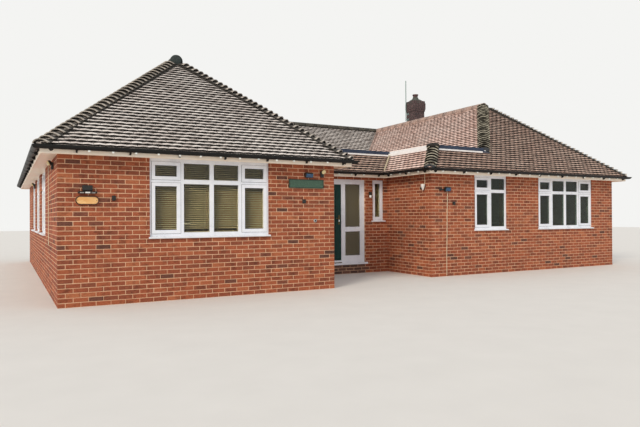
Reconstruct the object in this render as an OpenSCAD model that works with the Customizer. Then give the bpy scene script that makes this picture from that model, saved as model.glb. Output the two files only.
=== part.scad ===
// Single-storey brick house with three hipped tiled ranges set out in a U.
// A flat roof behind a low tiled skirt fills the space between them, over the entrance.
// Sizes are in millimetres. X runs along the front, Y to the back, Z up from the ground.

/* [Plan] */
// Overall width of the brickwork
house_w = 14500; // [13900:50:16500]
// Overall depth of the brickwork
house_d = 11250; // [10600:50:12600]
// Width of each of the three tiled ranges
range_w = 4950; // [4700:50:5200]
// How far the right front wall stands behind the left one
right_setback = 600; // [450:50:800]
// How far the entrance wall stands behind the left front wall
entry_setback = 2340; // [2100:30:2640]
// Width of the recess in front of the entrance wall
recess_w = 2950; // [2900:25:3050]

/* [Walls] */
// Thickness of the cavity walls
wall_t = 275; // [250:5:300]
// Height of the walls from the ground to the soffit
wall_h = 2400; // [2400:75:2625]
// Height of the floor above the ground
floor_h = 225; // [150:75:225]
// Thickness of the ceiling
ceiling_t = 20; // [12:1:30]
// Bearing of the ceiling on the inner leaf of the walls
ceiling_bearing = 100; // [60:5:110]

/* [Roof] */
// Pitch of every tiled slope, in degrees
pitch = 39; // [36:1:42]
// Thickness of rafters, battens and tiles, square to the slope
roof_t = 150; // [130:5:160]
// Height of the tile face above the wall top, at the wall face
roof_lift = 345; // [335:5:380]
// Thickness of the tiles at the eaves
tile_t = 30; // [20:1:35]
// Tiles' overhang beyond the fascia
tile_over = 35; // [20:5:45]
// Width of the wall plate
plate_w = 100; // [75:5:110]
// Distance from the wall face to the wall plate
plate_in = 60; // [55:5:65]
// Run of the low tiled skirt inside the wall face
skirt_in = 315; // [290:5:340]

/* [Flat roof] */
// Thickness of the flat roof
deck_t = 150; // [100:10:160]
// Drop of the flat roof below the head of the skirt
deck_drop = 40; // [30:5:60]
// Height of the kerb above the head of the skirt
kerb_rise = 120; // [90:5:150]
// Width of the kerb
kerb_w = 85; // [60:5:110]
// Height of the white edge trim above the head of the skirt
trim_rise = 60; // [40:5:80]
// Thickness of the white edge trim
trim_t = 28; // [20:2:40]

/* [Eaves] */
// Width of the soffit, from the wall face to the back of the fascia
eaves_w = 235; // [215:5:245]
// Thickness of the soffit boards
soffit_t = 15; // [9:1:18]
// Lap of the soffit boards over the wall top
soffit_lap = 50; // [30:5:50]
// Thickness of the fascia boards
fascia_t = 20; // [16:1:25]
// How far the fascia hangs below the soffit
fascia_drop = 25; // [10:5:40]
// Outer radius of the half-round gutter
gutter_r = 56; // [50:1:62]
// Thickness of the gutter
gutter_t = 3; // [2:1:5]
// How far the tiles' lower edge reaches down into the gutter
tail_dip = 20; // [10:1:22]
// Outer diameter of a downpipe
pipe_d = 68; // [60:1:75]
// Height of a downpipe's lower end above the ground
pipe_foot = 60; // [40:10:150]

/* [Ridges and hips] */
// Outer radius of the half-round ridge tiles
ridge_r = 125; // [110:5:140]
// How far a ridge tile's middle lies below the meeting of the two tile faces
ridge_sink = 35; // [20:5:45]
// Outer radius of the bonnet hip tiles
bonnet_r = 165; // [150:5:180]
// How far a bonnet tile's middle lies below the meeting of the two tile faces
bonnet_sink = 80; // [70:5:90]
// Thickness of ridge and bonnet tiles
cap_t = 15; // [12:1:20]

/* [Windows] */
// Clear width of one light of a window
light_w = 462; // [430:2:480]
// Height of the sill's underside above the ground
sill_z = 1050; // [975:75:1125]
// Thickness of the sill
sill_t = 38; // [30:1:45]
// How far the sill stands out from the wall
sill_out = 45; // [30:5:60]
// Face width of the outer frame
frame_w = 50; // [45:1:55]
// Face width of the bottom frame member
frame_foot = 56; // [50:1:65]
// Face width of the top frame member
frame_head = 65; // [55:1:75]
// Face width of mullions and transoms
bar_w = 72; // [66:1:80]
// Height of the fanlights
fanlight_h = 281; // [250:1:300]
// Depth of the frames
frame_d = 70; // [60:1:80]
// How far the frames stand behind the wall face
frame_in = 30; // [20:5:40]
// Face width of an opening sash
sash_w = 57; // [50:1:62]
// Lap of a sash over its frame
sash_lap = 12; // [8:1:14]
// How far a sash stands out from its frame
sash_out = 10; // [6:1:14]
// Thickness of the glass units
glass_t = 24; // [20:1:28]

/* [Window places] */
// Left wing's front window, from the left corner of that wall
front_window_x = 1400; // [900:50:1900]
// Right front wall's small window, from the left corner of that wall
small_window_x = 1330; // [1200:10:1400]
// Right front wall's large window, from the left corner of that wall
large_window_x = 3560; // [3400:10:3600]
// Left side's far window, from the rear corner
left_far_x = 2220; // [1500:10:2260]
// Left side's middle window, from the rear corner
left_middle_x = 4370; // [4330:10:4450]
// Left side's near window, from the rear corner
left_near_x = 6620; // [6500:10:7000]
// Right side's large window, from the front corner
right_large_x = 2500; // [2200:50:2800]
// Right side's small window, from the front corner
right_small_x = 7000; // [6800:50:7600]
// Rear wall's first large window, from the corner at left seen from behind
rear_first_x = 1300; // [1100:50:1500]
// Rear wall's first small window, from the same corner
rear_second_x = 4800; // [4500:50:5200]
// Rear wall's second small window, from the same corner
rear_third_x = 8600; // [8300:50:8900]
// Rear wall's second large window, from the other corner
rear_fourth_end = 1336; // [1136:50:1536]
// Narrow window beside the door, from the left corner of the entrance wall
narrow_x = 2497; // [2470:1:2520]
// Width of the narrow window
narrow_w = 330; // [300:5:350]
// Height of the narrow window above the ground
narrow_z = 1275; // [1200:75:1350]

/* [Door] */
// Door frame's left edge, from the left corner of the entrance wall
door_x = 600; // [500:10:620]
// Overall width of door frame and sidelight
door_set_w = 1675; // [1650:5:1700]
// Height of the brick course over the door frame
head_course = 70; // [65:5:75]
// Thickness of the door sill
door_sill_t = 45; // [35:5:50]
// Width of the door's left jamb
jamb_w = 62; // [55:1:70]
// Clear width between jamb and mullion
door_clear = 950; // [900:5:960]
// Width of the mullion between door and sidelight
mullion_w = 103; // [90:1:110]
// Width of the sidelight's right jamb
side_jamb_w = 128; // [115:1:140]
// Height of the frame head
door_head = 115; // [100:5:120]
// Height of the threshold
threshold_h = 62; // [50:2:70]
// Gap round the door leaf
door_gap = 8; // [7:1:10]
// Thickness of the door leaf
leaf_t = 50; // [44:1:56]
// Width of the lip that covers the gap
lip_w = 12; // [10:1:16]
// Thickness of the lip
lip_t = 14; // [10:1:16]
// Underside of the sidelight's middle rail, above the ground
mid_rail_z = 1041; // [950:1:1100]
// Height of the sidelight's middle rail
mid_rail_h = 111; // [90:1:120]
// Top of the sidelight's bottom rail, above the ground
foot_rail_z = 443; // [400:1:500]
// Width of the door's glass
pane_w = 605; // [560:5:620]
// Underside of the door's glass, above the ground
pane_z = 1180; // [1100:5:1250]
// Height of the door's glass
pane_h = 900; // [800:5:900]
// Angle the door stands open, in the drawing only
door_open = 0; // [0:5:90]

/* [Chimney] */
// Side of the chimney stack
stack_w = 445; // [440:5:480]
// Distance of the stack's centre beyond the right ridge
stack_out = 335; // [310:5:380]
// Distance of the stack's centre from the front
stack_y = 6800; // [6400:50:7200]
// Height of the stack's brickwork above the right ridge
stack_rise = 825; // [750:25:1100]
// Height of one brick course
course = 75; // [70:1:80]
// Height of the rounded mortar on top
flaunching_h = 90; // [70:5:110]
// Outer radius of the chimney pot
pot_r = 92; // [85:1:100]
// Height of the chimney pot above the brickwork
pot_h = 260; // [220:5:320]
// Thickness of the chimney pot
pot_t = 18; // [14:1:22]
// Depth of the open flue below the pot
flue_depth = 600; // [400:50:800]
// Height of the mast's top above the stack's brickwork
mast_rise = 760; // [640:10:900]
// Diameter of the mast
mast_d = 32; // [25:1:40]

/* [Fittings] */
// Distance of the oval plaque's middle from the left front corner
plaque_x = 430; // [350:10:600]
// Height of the oval plaque's middle above the ground
plaque_z = 1680; // [1600:10:1750]
// Width of the oval plaque
plaque_w = 360; // [300:5:400]
// Height of the oval plaque
plaque_h = 150; // [120:5:170]
// Distance of the long board's middle from the left wing's right corner
board_end = 612; // [450:2:700]
// Height of the long board's middle above the ground
board_z = 2035; // [1955:10:2105]
// Width of the long board
board_w = 740; // [650:5:760]
// Height of the long board
board_h = 165; // [140:5:180]
// Thickness of plaque and board
plate_t = 18; // [12:1:24]
// Radius of a spotlight's round head
spot_r = 45; // [35:1:50]

/* [Hidden] */
$fn = 48;

// Corners of the plan
inner_x = recess_w + range_w;
right_x = house_w - range_w;
rear_y = house_d - range_w;
half = range_w / 2;

// Heights along a slope, at the run d inside the wall face
rise = tan(pitch);
roof_v = roof_t / cos(pitch);
tile_v = tile_t / cos(pitch);
function tile_z(d) = wall_h + roof_lift + d * rise;
function rafter_z(d) = tile_z(d) - roof_v;
function run_at(z) = (z - wall_h - roof_lift + roof_v) / rise;
fascia_face = -eaves_w - fascia_t;
tile_edge = fascia_face - tile_over;
soffit_top = wall_h + soffit_t;
gutter_z = tile_z(tile_edge) - tile_v + tail_dip;
gutter_y = fascia_face - gutter_r;
heel = 1;
skirt_z = tile_z(skirt_in);
deck_z = skirt_z - deck_drop;
lap_gap = 0.2;
ridge_z = tile_z(half);
hip_tilt = atan(rise / sqrt(2));

// Walls as seen from outside: corner at the left, turn, and length
front_face = [0, 0, 0, range_w];
recess_face = [range_w, 0, 90, entry_setback];
entrance_face = [range_w, entry_setback, 0, recess_w];
return_face = [inner_x, entry_setback, -90, entry_setback - right_setback];
right_front_face = [inner_x, right_setback, 0, house_w - inner_x];
right_face = [house_w, right_setback, 90, house_d - right_setback];
rear_face = [house_w, house_d, 180, house_w];
left_face = [0, house_d, -90, house_d];

// Round the eaves in order: each wall with its two end mitres, 1 outward and -1 inward
eaves = [
    [front_face, 1, 1],
    [recess_face, 1, -1],
    [entrance_face, -1, -1],
    [return_face, -1, 1],
    [right_front_face, 1, 1],
    [right_face, 1, 1],
    [rear_face, 1, 1],
    [left_face, 1, 1]
];

// Windows: place along the wall and number of lights
front_wins = [[front_window_x, 4]];
right_front_wins = [[small_window_x, 2], [large_window_x, 4]];
left_wins = [[left_far_x, 3], [left_middle_x, 3], [left_near_x, 3]];
right_wins = [[right_large_x, 4], [right_small_x, 2]];
rear_wins = [
    [rear_first_x, 4],
    [rear_second_x, 2],
    [rear_third_x, 2],
    [house_w - rear_fourth_end - window_w(4), 4]
];
all_wins = [
    [front_face, front_wins],
    [right_front_face, right_front_wins],
    [left_face, left_wins],
    [right_face, right_wins],
    [rear_face, rear_wins]
];
function window_w(lights) = 2 * frame_w + lights * light_w + (lights - 1) * bar_w;
function opens(i, lights) = i == 0 || (lights > 2 && i == lights - 1);
frame_z = sill_z + sill_t;
frame_h = wall_h - frame_z;
light_foot = frame_z + frame_foot;
light_top = wall_h - frame_head;
transom_z = light_top - fanlight_h - bar_w;
glass_in = frame_in + (frame_d - glass_t) / 2;
blind_in = frame_in + frame_d + 12;
blind_t = 26;
blind_side = 15;
headrail_h = 40;
headrail_over = 6;

// Door set, along the entrance wall
door_top = wall_h - head_course;
door_foot = floor_h + door_sill_t;
leaf_x = door_x + jamb_w + door_gap;
leaf_w = door_clear - 2 * door_gap;
leaf_z = door_foot + threshold_h + door_gap;
leaf_top = door_top - door_head - door_gap;
mullion_x = door_x + jamb_w + door_clear;
side_x = mullion_x + mullion_w;
side_w = door_set_w - (side_x - door_x) - side_jamb_w;
door_in = 50;
leaf_in = door_in + lip_t + 6;
hinge_x = leaf_x - 6;
hinge_out = 16;
hinge_y = leaf_in + leaf_t + hinge_out;
hinge_r = 9;
hinge_pin_r = 5;
pin_gap = 0.3;
knuckle_h = 60;
flag_w = 55;
hinge_zs = [leaf_z + 200, (leaf_z + leaf_top) / 2, leaf_top - 200];
leaf_pane_x = leaf_x + (leaf_w - pane_w) / 2;
pane_back = 12;
side_glass_in = 20;
handle_z = 1330;
handle_in = 62;
narrow_h = door_top - narrow_z - sill_t;
narrow_edge = 40;

// Chimney: how far each course of its head stands out, from below
corbels = [20, 34, 34, 34, 18];
stack_x = house_w - half + stack_out;
stack_z = ridge_z + stack_rise;
corbel_z = stack_z - len(corbels) * course;
mast_off = 90;
mast_in = 70;
mast_lap = 330;
bracket_in = 65;
bracket_w = 30;
bracket_t = 6;
bracket_plate = 120;

// Fittings on each wall: left edge, underside, width, height and stand-out
board_x = range_w - board_end;
front_lamps = [
    [plaque_x - 75, plaque_z + 145, 150, 90, 70],
    [plaque_x - 140, plaque_z + 110, 280, 28, 95],
    [board_x - 45, board_z + 115, 166, 98, 80]
];
front_boxes = [
    [plaque_x + 370, plaque_z, 60, 80, 30],
    [board_x - 88, board_z - 373, 70, 75, 30],
    [board_x + 152, board_z - 758, 70, 105, 40]
];
right_front_lamps = [
    [359, 1986, 170, 105, 90],
    [225, 1990, 50, 70, 50],
    [260, 2015, 110, 24, 30],
    [630, 1671, 60, 80, 50]
];
entrance_lamps = [[2373, 1880, 60, 150, 80]];

// Spotlights: wall, distance along it and height
spots = [
    [front_face, board_x + 336, 2225],
    [left_face, house_d - 750, 2270],
    [left_face, house_d - 7140, 2250]
];

// Puts a wall's own axes in place: x along it, y inward, z up
module on(face) {
    translate([face[0], face[1], 0])
        rotate([0, 0, face[2]])
            children();
}

// Extrudes a section of inward run and height along a wall
module along(length, spare = 0) {
    translate([-spare, 0, 0])
        rotate([90, 0, 90])
            linear_extrude(length + 2 * spare)
                children();
}

// Cuts what runs along a wall to an outline seen from above
module cut_to(outline) {
    intersection() {
        children();
        linear_extrude(2 * wall_h + ridge_z)
            polygon(outline);
    }
}

// A run along a wall with mitred ends, between the inward runs d0 and d1
module mitred_run(length, d0, d1, m0, m1) {
    spare = max(abs(d0), abs(d1)) + 10;
    cut_to([[m0 * d0, d0], [length - m1 * d0, d0], [length - m1 * d1, d1], [m0 * d1, d1]])
        along(length, spare)
            children();
}

// Floor, walls and ceiling

// Outline of the house at a distance d inside the outer wall faces
function plan(d) = [
    [d, d],
    [range_w - d, d],
    [range_w - d, entry_setback + d],
    [inner_x + d, entry_setback + d],
    [inner_x + d, right_setback + d],
    [house_w - d, right_setback + d],
    [house_w - d, house_d - d],
    [d, house_d - d]
];

module floor_slab() {
    color("silver")
        linear_extrude(floor_h)
            polygon(plan(wall_t));
}

module ceiling_board() {
    translate([0, 0, wall_h])
        linear_extrude(ceiling_t)
            polygon(plan(wall_t - ceiling_bearing));
}

module ceiling() {
    color("white")
        difference() {
            ceiling_board();
            stack_shaft();
        }
}

// Plain length of wall with window openings up to its top
module wall(from, to, wins = []) {
    difference() {
        translate([from, 0, 0])
            cube([to - from, wall_t, wall_h]);
        for (w = wins)
            translate([w[0], -1, sill_z])
                cube([window_w(w[1]), wall_t + 2, wall_h]);
    }
}

module left_wing_front_wall() {
    color("sienna")
        on(front_face)
            wall(0, range_w, front_wins);
}

module left_side_wall() {
    color("sienna")
        on(left_face)
            wall(wall_t, house_d - wall_t, left_wins);
}

module recess_side_wall() {
    color("sienna")
        on(recess_face)
            wall(wall_t, entry_setback + wall_t);
}

module entrance_wall_left() {
    color("sienna")
        on(entrance_face)
            wall(0, door_x);
}

module entrance_wall_right() {
    color("sienna")
        on(entrance_face)
            difference() {
                wall(door_x + door_set_w, recess_w);
                translate([narrow_x, -1, narrow_z])
                    cube([narrow_w, wall_t + 2, door_top - narrow_z]);
            }
}

module entrance_wall_head() {
    color("sienna")
        on(entrance_face)
            translate([door_x, 0, door_top])
                cube([door_set_w, wall_t, head_course]);
}

module entrance_plinth() {
    color("saddlebrown")
        on(entrance_face)
            translate([door_x, 0, 0])
                cube([door_set_w, wall_t, floor_h]);
}

module return_wall() {
    color("sienna")
        on(return_face)
            wall(-wall_t, entry_setback - right_setback - wall_t);
}

module right_front_wall() {
    color("sienna")
        on(right_front_face)
            wall(0, house_w - inner_x, right_front_wins);
}

module right_side_wall() {
    color("sienna")
        on(right_face)
            wall(wall_t, house_d - right_setback - wall_t, right_wins);
}

module rear_wall() {
    color("sienna")
        on(rear_face)
            wall(0, house_w, rear_wins);
}

// Roofs

// Section of a slope up to the run d: tiles and rafters, rafter foot and wall plate
module slope_section(d) {
    foot_z = max(soffit_top, rafter_z(-eaves_w));
    polygon([
        [tile_edge, tile_z(tile_edge)],
        [d, tile_z(d)],
        [d, rafter_z(d)],
        [plate_in + plate_w, rafter_z(plate_in + plate_w)],
        [plate_in + plate_w, wall_h],
        [plate_in, wall_h],
        [plate_in, rafter_z(plate_in)],
        [max(run_at(foot_z), heel - eaves_w), max(foot_z, rafter_z(heel - eaves_w))],
        [-eaves_w, foot_z],
        [-eaves_w, tile_z(-eaves_w) - tile_v],
        [tile_edge, tile_z(tile_edge) - tile_v]
    ]);
}

// One slope over a wall, cut to its outline from above
module slope(length, outline) {
    cut_to(outline)
        along(length, range_w)
            slope_section(half);
}

// Each tiled roof rests on the ceiling where its inner slopes cross the rooms
module left_roof() {
    color("dimgray")
        difference() {
            union() {
                on(front_face)
                    slope(range_w, [[tile_edge, tile_edge], [range_w - tile_edge, tile_edge],
                        [half, half]]);
                on(left_face)
                    slope(house_d, [[tile_edge, tile_edge], [house_d - tile_edge, tile_edge],
                        [house_d - half, half], [half, half]]);
                on(recess_face)
                    slope(rear_y, [[tile_edge, tile_edge], [entry_setback + tile_edge, tile_edge],
                        [entry_setback + skirt_in, skirt_in], [entry_setback + skirt_in, plate_in],
                        [rear_y + plate_in, plate_in], [rear_y + half, half], [half, half]]);
            }
            ceiling_board();
        }
}

module rear_roof() {
    color("dimgray")
        difference() {
            union() {
                on(rear_face)
                    slope(house_w, [[tile_edge, tile_edge], [house_w - tile_edge, tile_edge],
                        [house_w - half, half], [half, half]]);
                translate([range_w, rear_y, 0])
                    slope(right_x - range_w, [[-plate_in, plate_in],
                        [right_x - range_w + plate_in, plate_in],
                        [right_x - range_w + half, half], [-half, half]]);
            }
            ceiling_board();
        }
}

module right_roof() {
    color("indianred")
        difference() {
            union() {
                translate([right_x, right_setback, 0])
                    slope(range_w, [[skirt_in, tile_edge], [range_w - tile_edge, tile_edge],
                        [half, half], [skirt_in, skirt_in]]);
                on(right_face)
                    slope(house_d, [[tile_edge, tile_edge],
                        [house_d - right_setback - tile_edge, tile_edge],
                        [house_d - right_setback - half, half], [half, half]]);
                on([right_x, rear_y, -90])
                    slope(rear_y, [[-plate_in, plate_in], [rear_y - right_setback - skirt_in, plate_in],
                        [rear_y - right_setback - skirt_in, skirt_in],
                        [rear_y - right_setback - half, half], [-half, half]]);
            }
            ceiling_board();
            stack_shaft();
        }
}

// Low tiled skirt round the recess, the same section as the roofs
module skirt_roof() {
    color("rosybrown")
        union() {
            on(entrance_face)
                mitred_run(recess_w, tile_edge, skirt_in, -1, -1)
                    slope_section(skirt_in);
            on(return_face)
                mitred_run(entry_setback - right_setback, tile_edge, skirt_in, -1, 1)
                    slope_section(skirt_in);
            on(right_front_face)
                mitred_run(right_x + skirt_in - inner_x, tile_edge, skirt_in, 1, 0)
                    slope_section(skirt_in);
        }
}

// Everything under the tile face of a corner-to-corner strip of slope, and the lap's clearance
module under_slope(length) {
    along(length, range_w)
        polygon([
            [tile_edge, 0],
            [range_w, 0],
            [range_w, tile_z(range_w) + lap_gap],
            [tile_edge, tile_z(tile_edge) + lap_gap]
        ]);
}

// The bodies of the three ranges where the flat roof meets them
module range_bodies() {
    on(recess_face)
        under_slope(house_d);
    on([right_x, house_d, -90])
        under_slope(house_d);
    translate([0, rear_y, 0])
        under_slope(house_w);
}

module flat_roof() {
    back = skirt_in + kerb_w;
    color("slategray")
        difference() {
            union() {
                translate([0, 0, deck_z - deck_t])
                    linear_extrude(deck_t)
                        polygon([
                            [range_w - skirt_in, entry_setback + skirt_in],
                            [inner_x + skirt_in, entry_setback + skirt_in],
                            [inner_x + skirt_in, right_setback + skirt_in],
                            [right_x + skirt_in, right_setback + skirt_in],
                            [right_x + skirt_in, rear_y + skirt_in],
                            [range_w - skirt_in, rear_y + skirt_in]
                        ]);
                on(entrance_face)
                    mitred_run(recess_w, skirt_in, back, -1, -1)
                        kerb_section();
                on(return_face)
                    mitred_run(entry_setback - right_setback, skirt_in, back, -1, 1)
                        kerb_section();
                on(right_front_face)
                    mitred_run(right_x + skirt_in - inner_x, skirt_in, back, 1, -1)
                        kerb_section();
            }
            range_bodies();
        }
}

module kerb_section() {
    translate([skirt_in, deck_z - deck_t])
        square([kerb_w, deck_t + deck_drop + kerb_rise]);
}

// White trim along the head of the skirt, against the kerb
module roof_edge_trim() {
    front = skirt_in - trim_t;
    color("white")
        difference() {
            union() {
                on(entrance_face)
                    mitred_run(recess_w, front, skirt_in, -1, -1)
                        trim_section();
                on(return_face)
                    mitred_run(entry_setback - right_setback, front, skirt_in, -1, 1)
                        trim_section();
                on(right_front_face)
                    mitred_run(right_x + skirt_in - inner_x, front, skirt_in, 1, -1)
                        trim_section();
            }
            range_bodies();
        }
}

module trim_section() {
    front = skirt_in - trim_t;
    polygon([
        [front, tile_z(front)],
        [skirt_in, tile_z(skirt_in)],
        [skirt_in, skirt_z + trim_rise],
        [front, skirt_z + trim_rise]
    ]);
}

// Half-round ridge tile over the top of two slopes
module ridge_section() {
    difference() {
        translate([0, -ridge_sink])
            difference() {
                union() {
                    circle(ridge_r);
                    translate([-ridge_r, -ridge_r])
                        square([2 * ridge_r, ridge_r]);
                }
                circle(ridge_r - cap_t);
                translate([cap_t - ridge_r, -ridge_r - 1])
                    square([2 * (ridge_r - cap_t), ridge_r + 1]);
            }
        polygon([[0, 0], [2 * ridge_r, -2 * ridge_r * rise], [-2 * ridge_r, -2 * ridge_r * rise]]);
    }
}

// A straight ridge from the front apex back to the rear ridge, mitred at its far end
module side_ridge(x, from, far_mitre) {
    y_end = house_d - half;
    translate([x, 0, 0])
        cut_to([[-ridge_r, from], [ridge_r, from],
            [ridge_r, y_end - far_mitre * ridge_r], [-ridge_r, y_end + far_mitre * ridge_r]])
            translate([0, house_d, ridge_z])
                rotate([90, 0, 0])
                    linear_extrude(house_d)
                        ridge_section();
}

module ridge_tiles() {
    y_end = house_d - half;
    color("darkolivegreen")
        difference() {
            union() {
                side_ridge(half, half, 1);
                side_ridge(house_w - half, right_setback + half, -1);
                cut_to([[half - ridge_r, y_end + ridge_r], [half + ridge_r, y_end - ridge_r],
                    [house_w - half - ridge_r, y_end - ridge_r],
                    [house_w - half + ridge_r, y_end + ridge_r]])
                    translate([0, y_end, ridge_z])
                        rotate([90, 0, 90])
                            linear_extrude(house_w)
                                ridge_section();
            }
            stack_shaft();
        }
}

// Bonnet tiles along one hip, from the run d0 to d1, with the corner at the origin
module hip(d0, d1) {
    length = (d1 - d0) * sqrt(2) / cos(hip_tilt);
    difference() {
        translate([d0, d0, tile_z(d0)])
            rotate([0, 0, 45])
                rotate([0, 90 - hip_tilt, 0])
                    translate([bonnet_sink, 0, 0])
                        difference() {
                            cylinder(r = bonnet_r, h = length);
                            translate([0, 0, -1])
                                cylinder(r = bonnet_r - cap_t, h = length + 2);
                        }
        hip_body();
    }
}

// The roof under a hip
module hip_body() {
    intersection() {
        along(range_w, range_w)
            under_section();
        mirror([1, -1, 0])
            along(range_w, range_w)
                under_section();
    }
}

module under_section() {
    low = 2 * tile_edge;
    bed = 0.2;
    polygon([[low, 0], [range_w, 0], [range_w, tile_z(range_w) + bed], [low, tile_z(low) + bed]]);
}

module hip_tiles() {
    bonnet_back = 30;
    low = tile_edge + bonnet_back;
    top = half - ridge_r;
    color("darkslategray") {
        hip(low, top);
        translate([range_w, 0, 0])
            mirror([1, 0, 0])
                hip(low, top);
        translate([0, house_d, 0])
            mirror([0, 1, 0])
                hip(low, top);
        translate([house_w, house_d, 0])
            rotate([0, 0, 180])
                hip(low, top);
        translate([house_w, right_setback, 0])
            mirror([1, 0, 0])
                hip(low, top);
        translate([right_x, right_setback, 0])
            hip(skirt_in + bonnet_r, top);
        translate([inner_x, right_setback, 0])
            hip(low, skirt_in - trim_t - bonnet_r / 2);
    }
}

// Eaves

module round_eaves(d0, d1) {
    for (e = eaves)
        on(e[0])
            mitred_run(e[0][3], d0, d1, e[1], e[2])
                children();
}

module soffits() {
    color("wheat")
        union()
            round_eaves(-eaves_w, soffit_lap)
                translate([-eaves_w, wall_h])
                    square([eaves_w + soffit_lap, soffit_t]);
}

module fascias() {
    color("cornsilk")
        union()
            round_eaves(fascia_face, -eaves_w)
                polygon([
                    [fascia_face, wall_h - fascia_drop],
                    [-eaves_w, wall_h - fascia_drop],
                    [-eaves_w, tile_z(-eaves_w) - tile_v],
                    [fascia_face, tile_z(fascia_face) - tile_v]
                ]);
}

module gutter_section() {
    difference() {
        translate([gutter_y, gutter_z])
            circle(gutter_r);
        translate([gutter_y, gutter_z])
            circle(gutter_r - gutter_t);
        translate([gutter_y - 2 * gutter_r, gutter_z])
            square([4 * gutter_r, 2 * gutter_r]);
    }
}

module gutters() {
    color([0.12, 0.12, 0.13])
        union()
            round_eaves(gutter_y - gutter_r, fascia_face)
                gutter_section();
}

// Downpipe under the gutter with its offset back to the wall
module downpipe() {
    r = pipe_d / 2;
    socket_r = r + 6;
    top = gutter_z - gutter_r;
    outlet_h = 110;
    bend = wall_h - fascia_drop - outlet_h;
    drop = 190;
    pipe_gap = 4;
    back = -socket_r - pipe_gap;
    lean = atan((back - gutter_y) / drop);
    low = bend - drop;
    clip_side = 12;
    clip_h = 30;
    clip_zs = [600, 1600];
    translate([0, gutter_y, bend])
        cylinder(r = r, h = top - bend);
    translate([0, gutter_y, bend])
        sphere(socket_r);
    translate([0, back, low])
        rotate([lean, 0, 0])
            cylinder(r = r, h = norm([back - gutter_y, drop]));
    translate([0, back, low])
        sphere(socket_r);
    translate([0, back, pipe_foot])
        cylinder(r = r, h = low - pipe_foot);
    for (z = clip_zs)
        translate([-r - clip_side, back, z])
            cube([2 * (r + clip_side), -back, clip_h]);
}

module downpipes() {
    pipe_end = 450;
    color([0.12, 0.12, 0.13])
        on(rear_face)
            for (x = [pipe_end, house_w - pipe_end])
                translate([x, 0, 0])
                    downpipe();
}

// Windows

// A flat rectangle on a wall, standing as a board of the given depth
module board(x, z, w, h, y, d) {
    translate([x, y, z])
        cube([w, d, h]);
}

// Frame round a rectangular light, as an opening sash
module sash(x, z, w, h) {
    difference() {
        board(x - sash_lap, z - sash_lap, w + 2 * sash_lap, h + 2 * sash_lap, frame_in - sash_out, sash_out);
        board(x + sash_w - sash_lap, z + sash_w - sash_lap, w - 2 * (sash_w - sash_lap),
            h - 2 * (sash_w - sash_lap), frame_in - sash_out - 1, sash_out + 2);
    }
    difference() {
        board(x, z, w, h, frame_in, frame_d);
        board(x + sash_w - sash_lap, z + sash_w - sash_lap, w - 2 * (sash_w - sash_lap),
            h - 2 * (sash_w - sash_lap), frame_in - 1, frame_d + 2);
    }
}

function light_x(i) = frame_w + i * (light_w + bar_w);

// Window frame of 2 to 4 lights with a fanlight over each
module window_frame(lights) {
    w = window_w(lights);
    difference() {
        board(0, frame_z, w, frame_h, frame_in, frame_d);
        for (i = [0 : lights - 1]) {
            board(light_x(i), light_foot, light_w, transom_z - light_foot, frame_in - 1, frame_d + 2);
            board(light_x(i), transom_z + bar_w, light_w, fanlight_h, frame_in - 1, frame_d + 2);
        }
    }
    for (i = [0 : lights - 1])
        if (opens(i, lights)) {
            sash(light_x(i), light_foot, light_w, transom_z - light_foot);
            sash(light_x(i), transom_z + bar_w, light_w, fanlight_h);
        }
}

// Glass of one light, smaller where a sash surrounds it
module pane(x, z, w, h, sashed) {
    edge = sashed ? sash_w - sash_lap : 0;
    board(x + edge, z + edge, w - 2 * edge, h - 2 * edge, glass_in, glass_t);
}

module window_panes(lights) {
    for (i = [0 : lights - 1]) {
        pane(light_x(i), light_foot, light_w, transom_z - light_foot, opens(i, lights));
        pane(light_x(i), transom_z + bar_w, light_w, fanlight_h, opens(i, lights));
    }
}

module window_sill(w) {
    board(0, 0, w, sill_t, 0, frame_in + frame_d);
    board(-sill_out, 0, w + 2 * sill_out, sill_t, -sill_out, sill_out);
}

module frames_on(face, wins) {
    on(face)
        for (w = wins)
            translate([w[0], 0, 0])
                window_frame(w[1]);
}

module narrow_frame() {
    difference() {
        board(narrow_x, narrow_z + sill_t, narrow_w, narrow_h, frame_in, frame_d);
        board(narrow_x + narrow_edge, narrow_z + sill_t + narrow_edge, narrow_w - 2 * narrow_edge,
            narrow_h - 2 * narrow_edge, frame_in - 1, frame_d + 2);
    }
    sash(narrow_x + narrow_edge, narrow_z + sill_t + narrow_edge, narrow_w - 2 * narrow_edge,
        narrow_h - 2 * narrow_edge);
}

module front_window_frames() {
    color("white") {
        frames_on(front_face, front_wins);
        frames_on(right_front_face, right_front_wins);
        on(entrance_face)
            narrow_frame();
    }
}

module side_window_frames() {
    color("white") {
        frames_on(left_face, left_wins);
        frames_on(right_face, right_wins);
    }
}

module rear_window_frames() {
    color("white")
        frames_on(rear_face, rear_wins);
}

module window_glass() {
    color("lightsteelblue") {
        for (side = all_wins)
            on(side[0])
                for (w = side[1])
                    translate([w[0], 0, 0])
                        window_panes(w[1]);
        on(entrance_face)
            pane(narrow_x + narrow_edge, narrow_z + sill_t + narrow_edge, narrow_w - 2 * narrow_edge,
                narrow_h - 2 * narrow_edge, true);
    }
}

module window_sills() {
    color("white") {
        for (side = all_wins)
            on(side[0])
                for (w = side[1])
                    translate([w[0], 0, sill_z])
                        window_sill(window_w(w[1]));
        on(entrance_face)
            translate([narrow_x, 0, narrow_z])
                window_sill(narrow_w);
    }
}

// Slatted blinds hung inside the windows, drawn as closed sheets under a head rail
module window_blinds() {
    color("darkslategray")
        for (side = all_wins)
            on(side[0])
                for (w = side[1]) {
                    board(w[0] + blind_side, wall_h - headrail_h, window_w(w[1]) - 2 * blind_side,
                        headrail_h, blind_in - headrail_over, blind_t + 2 * headrail_over);
                    board(w[0] + blind_side, light_foot, window_w(w[1]) - 2 * blind_side,
                        wall_h - headrail_h - light_foot, blind_in, blind_t);
                }
}

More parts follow.
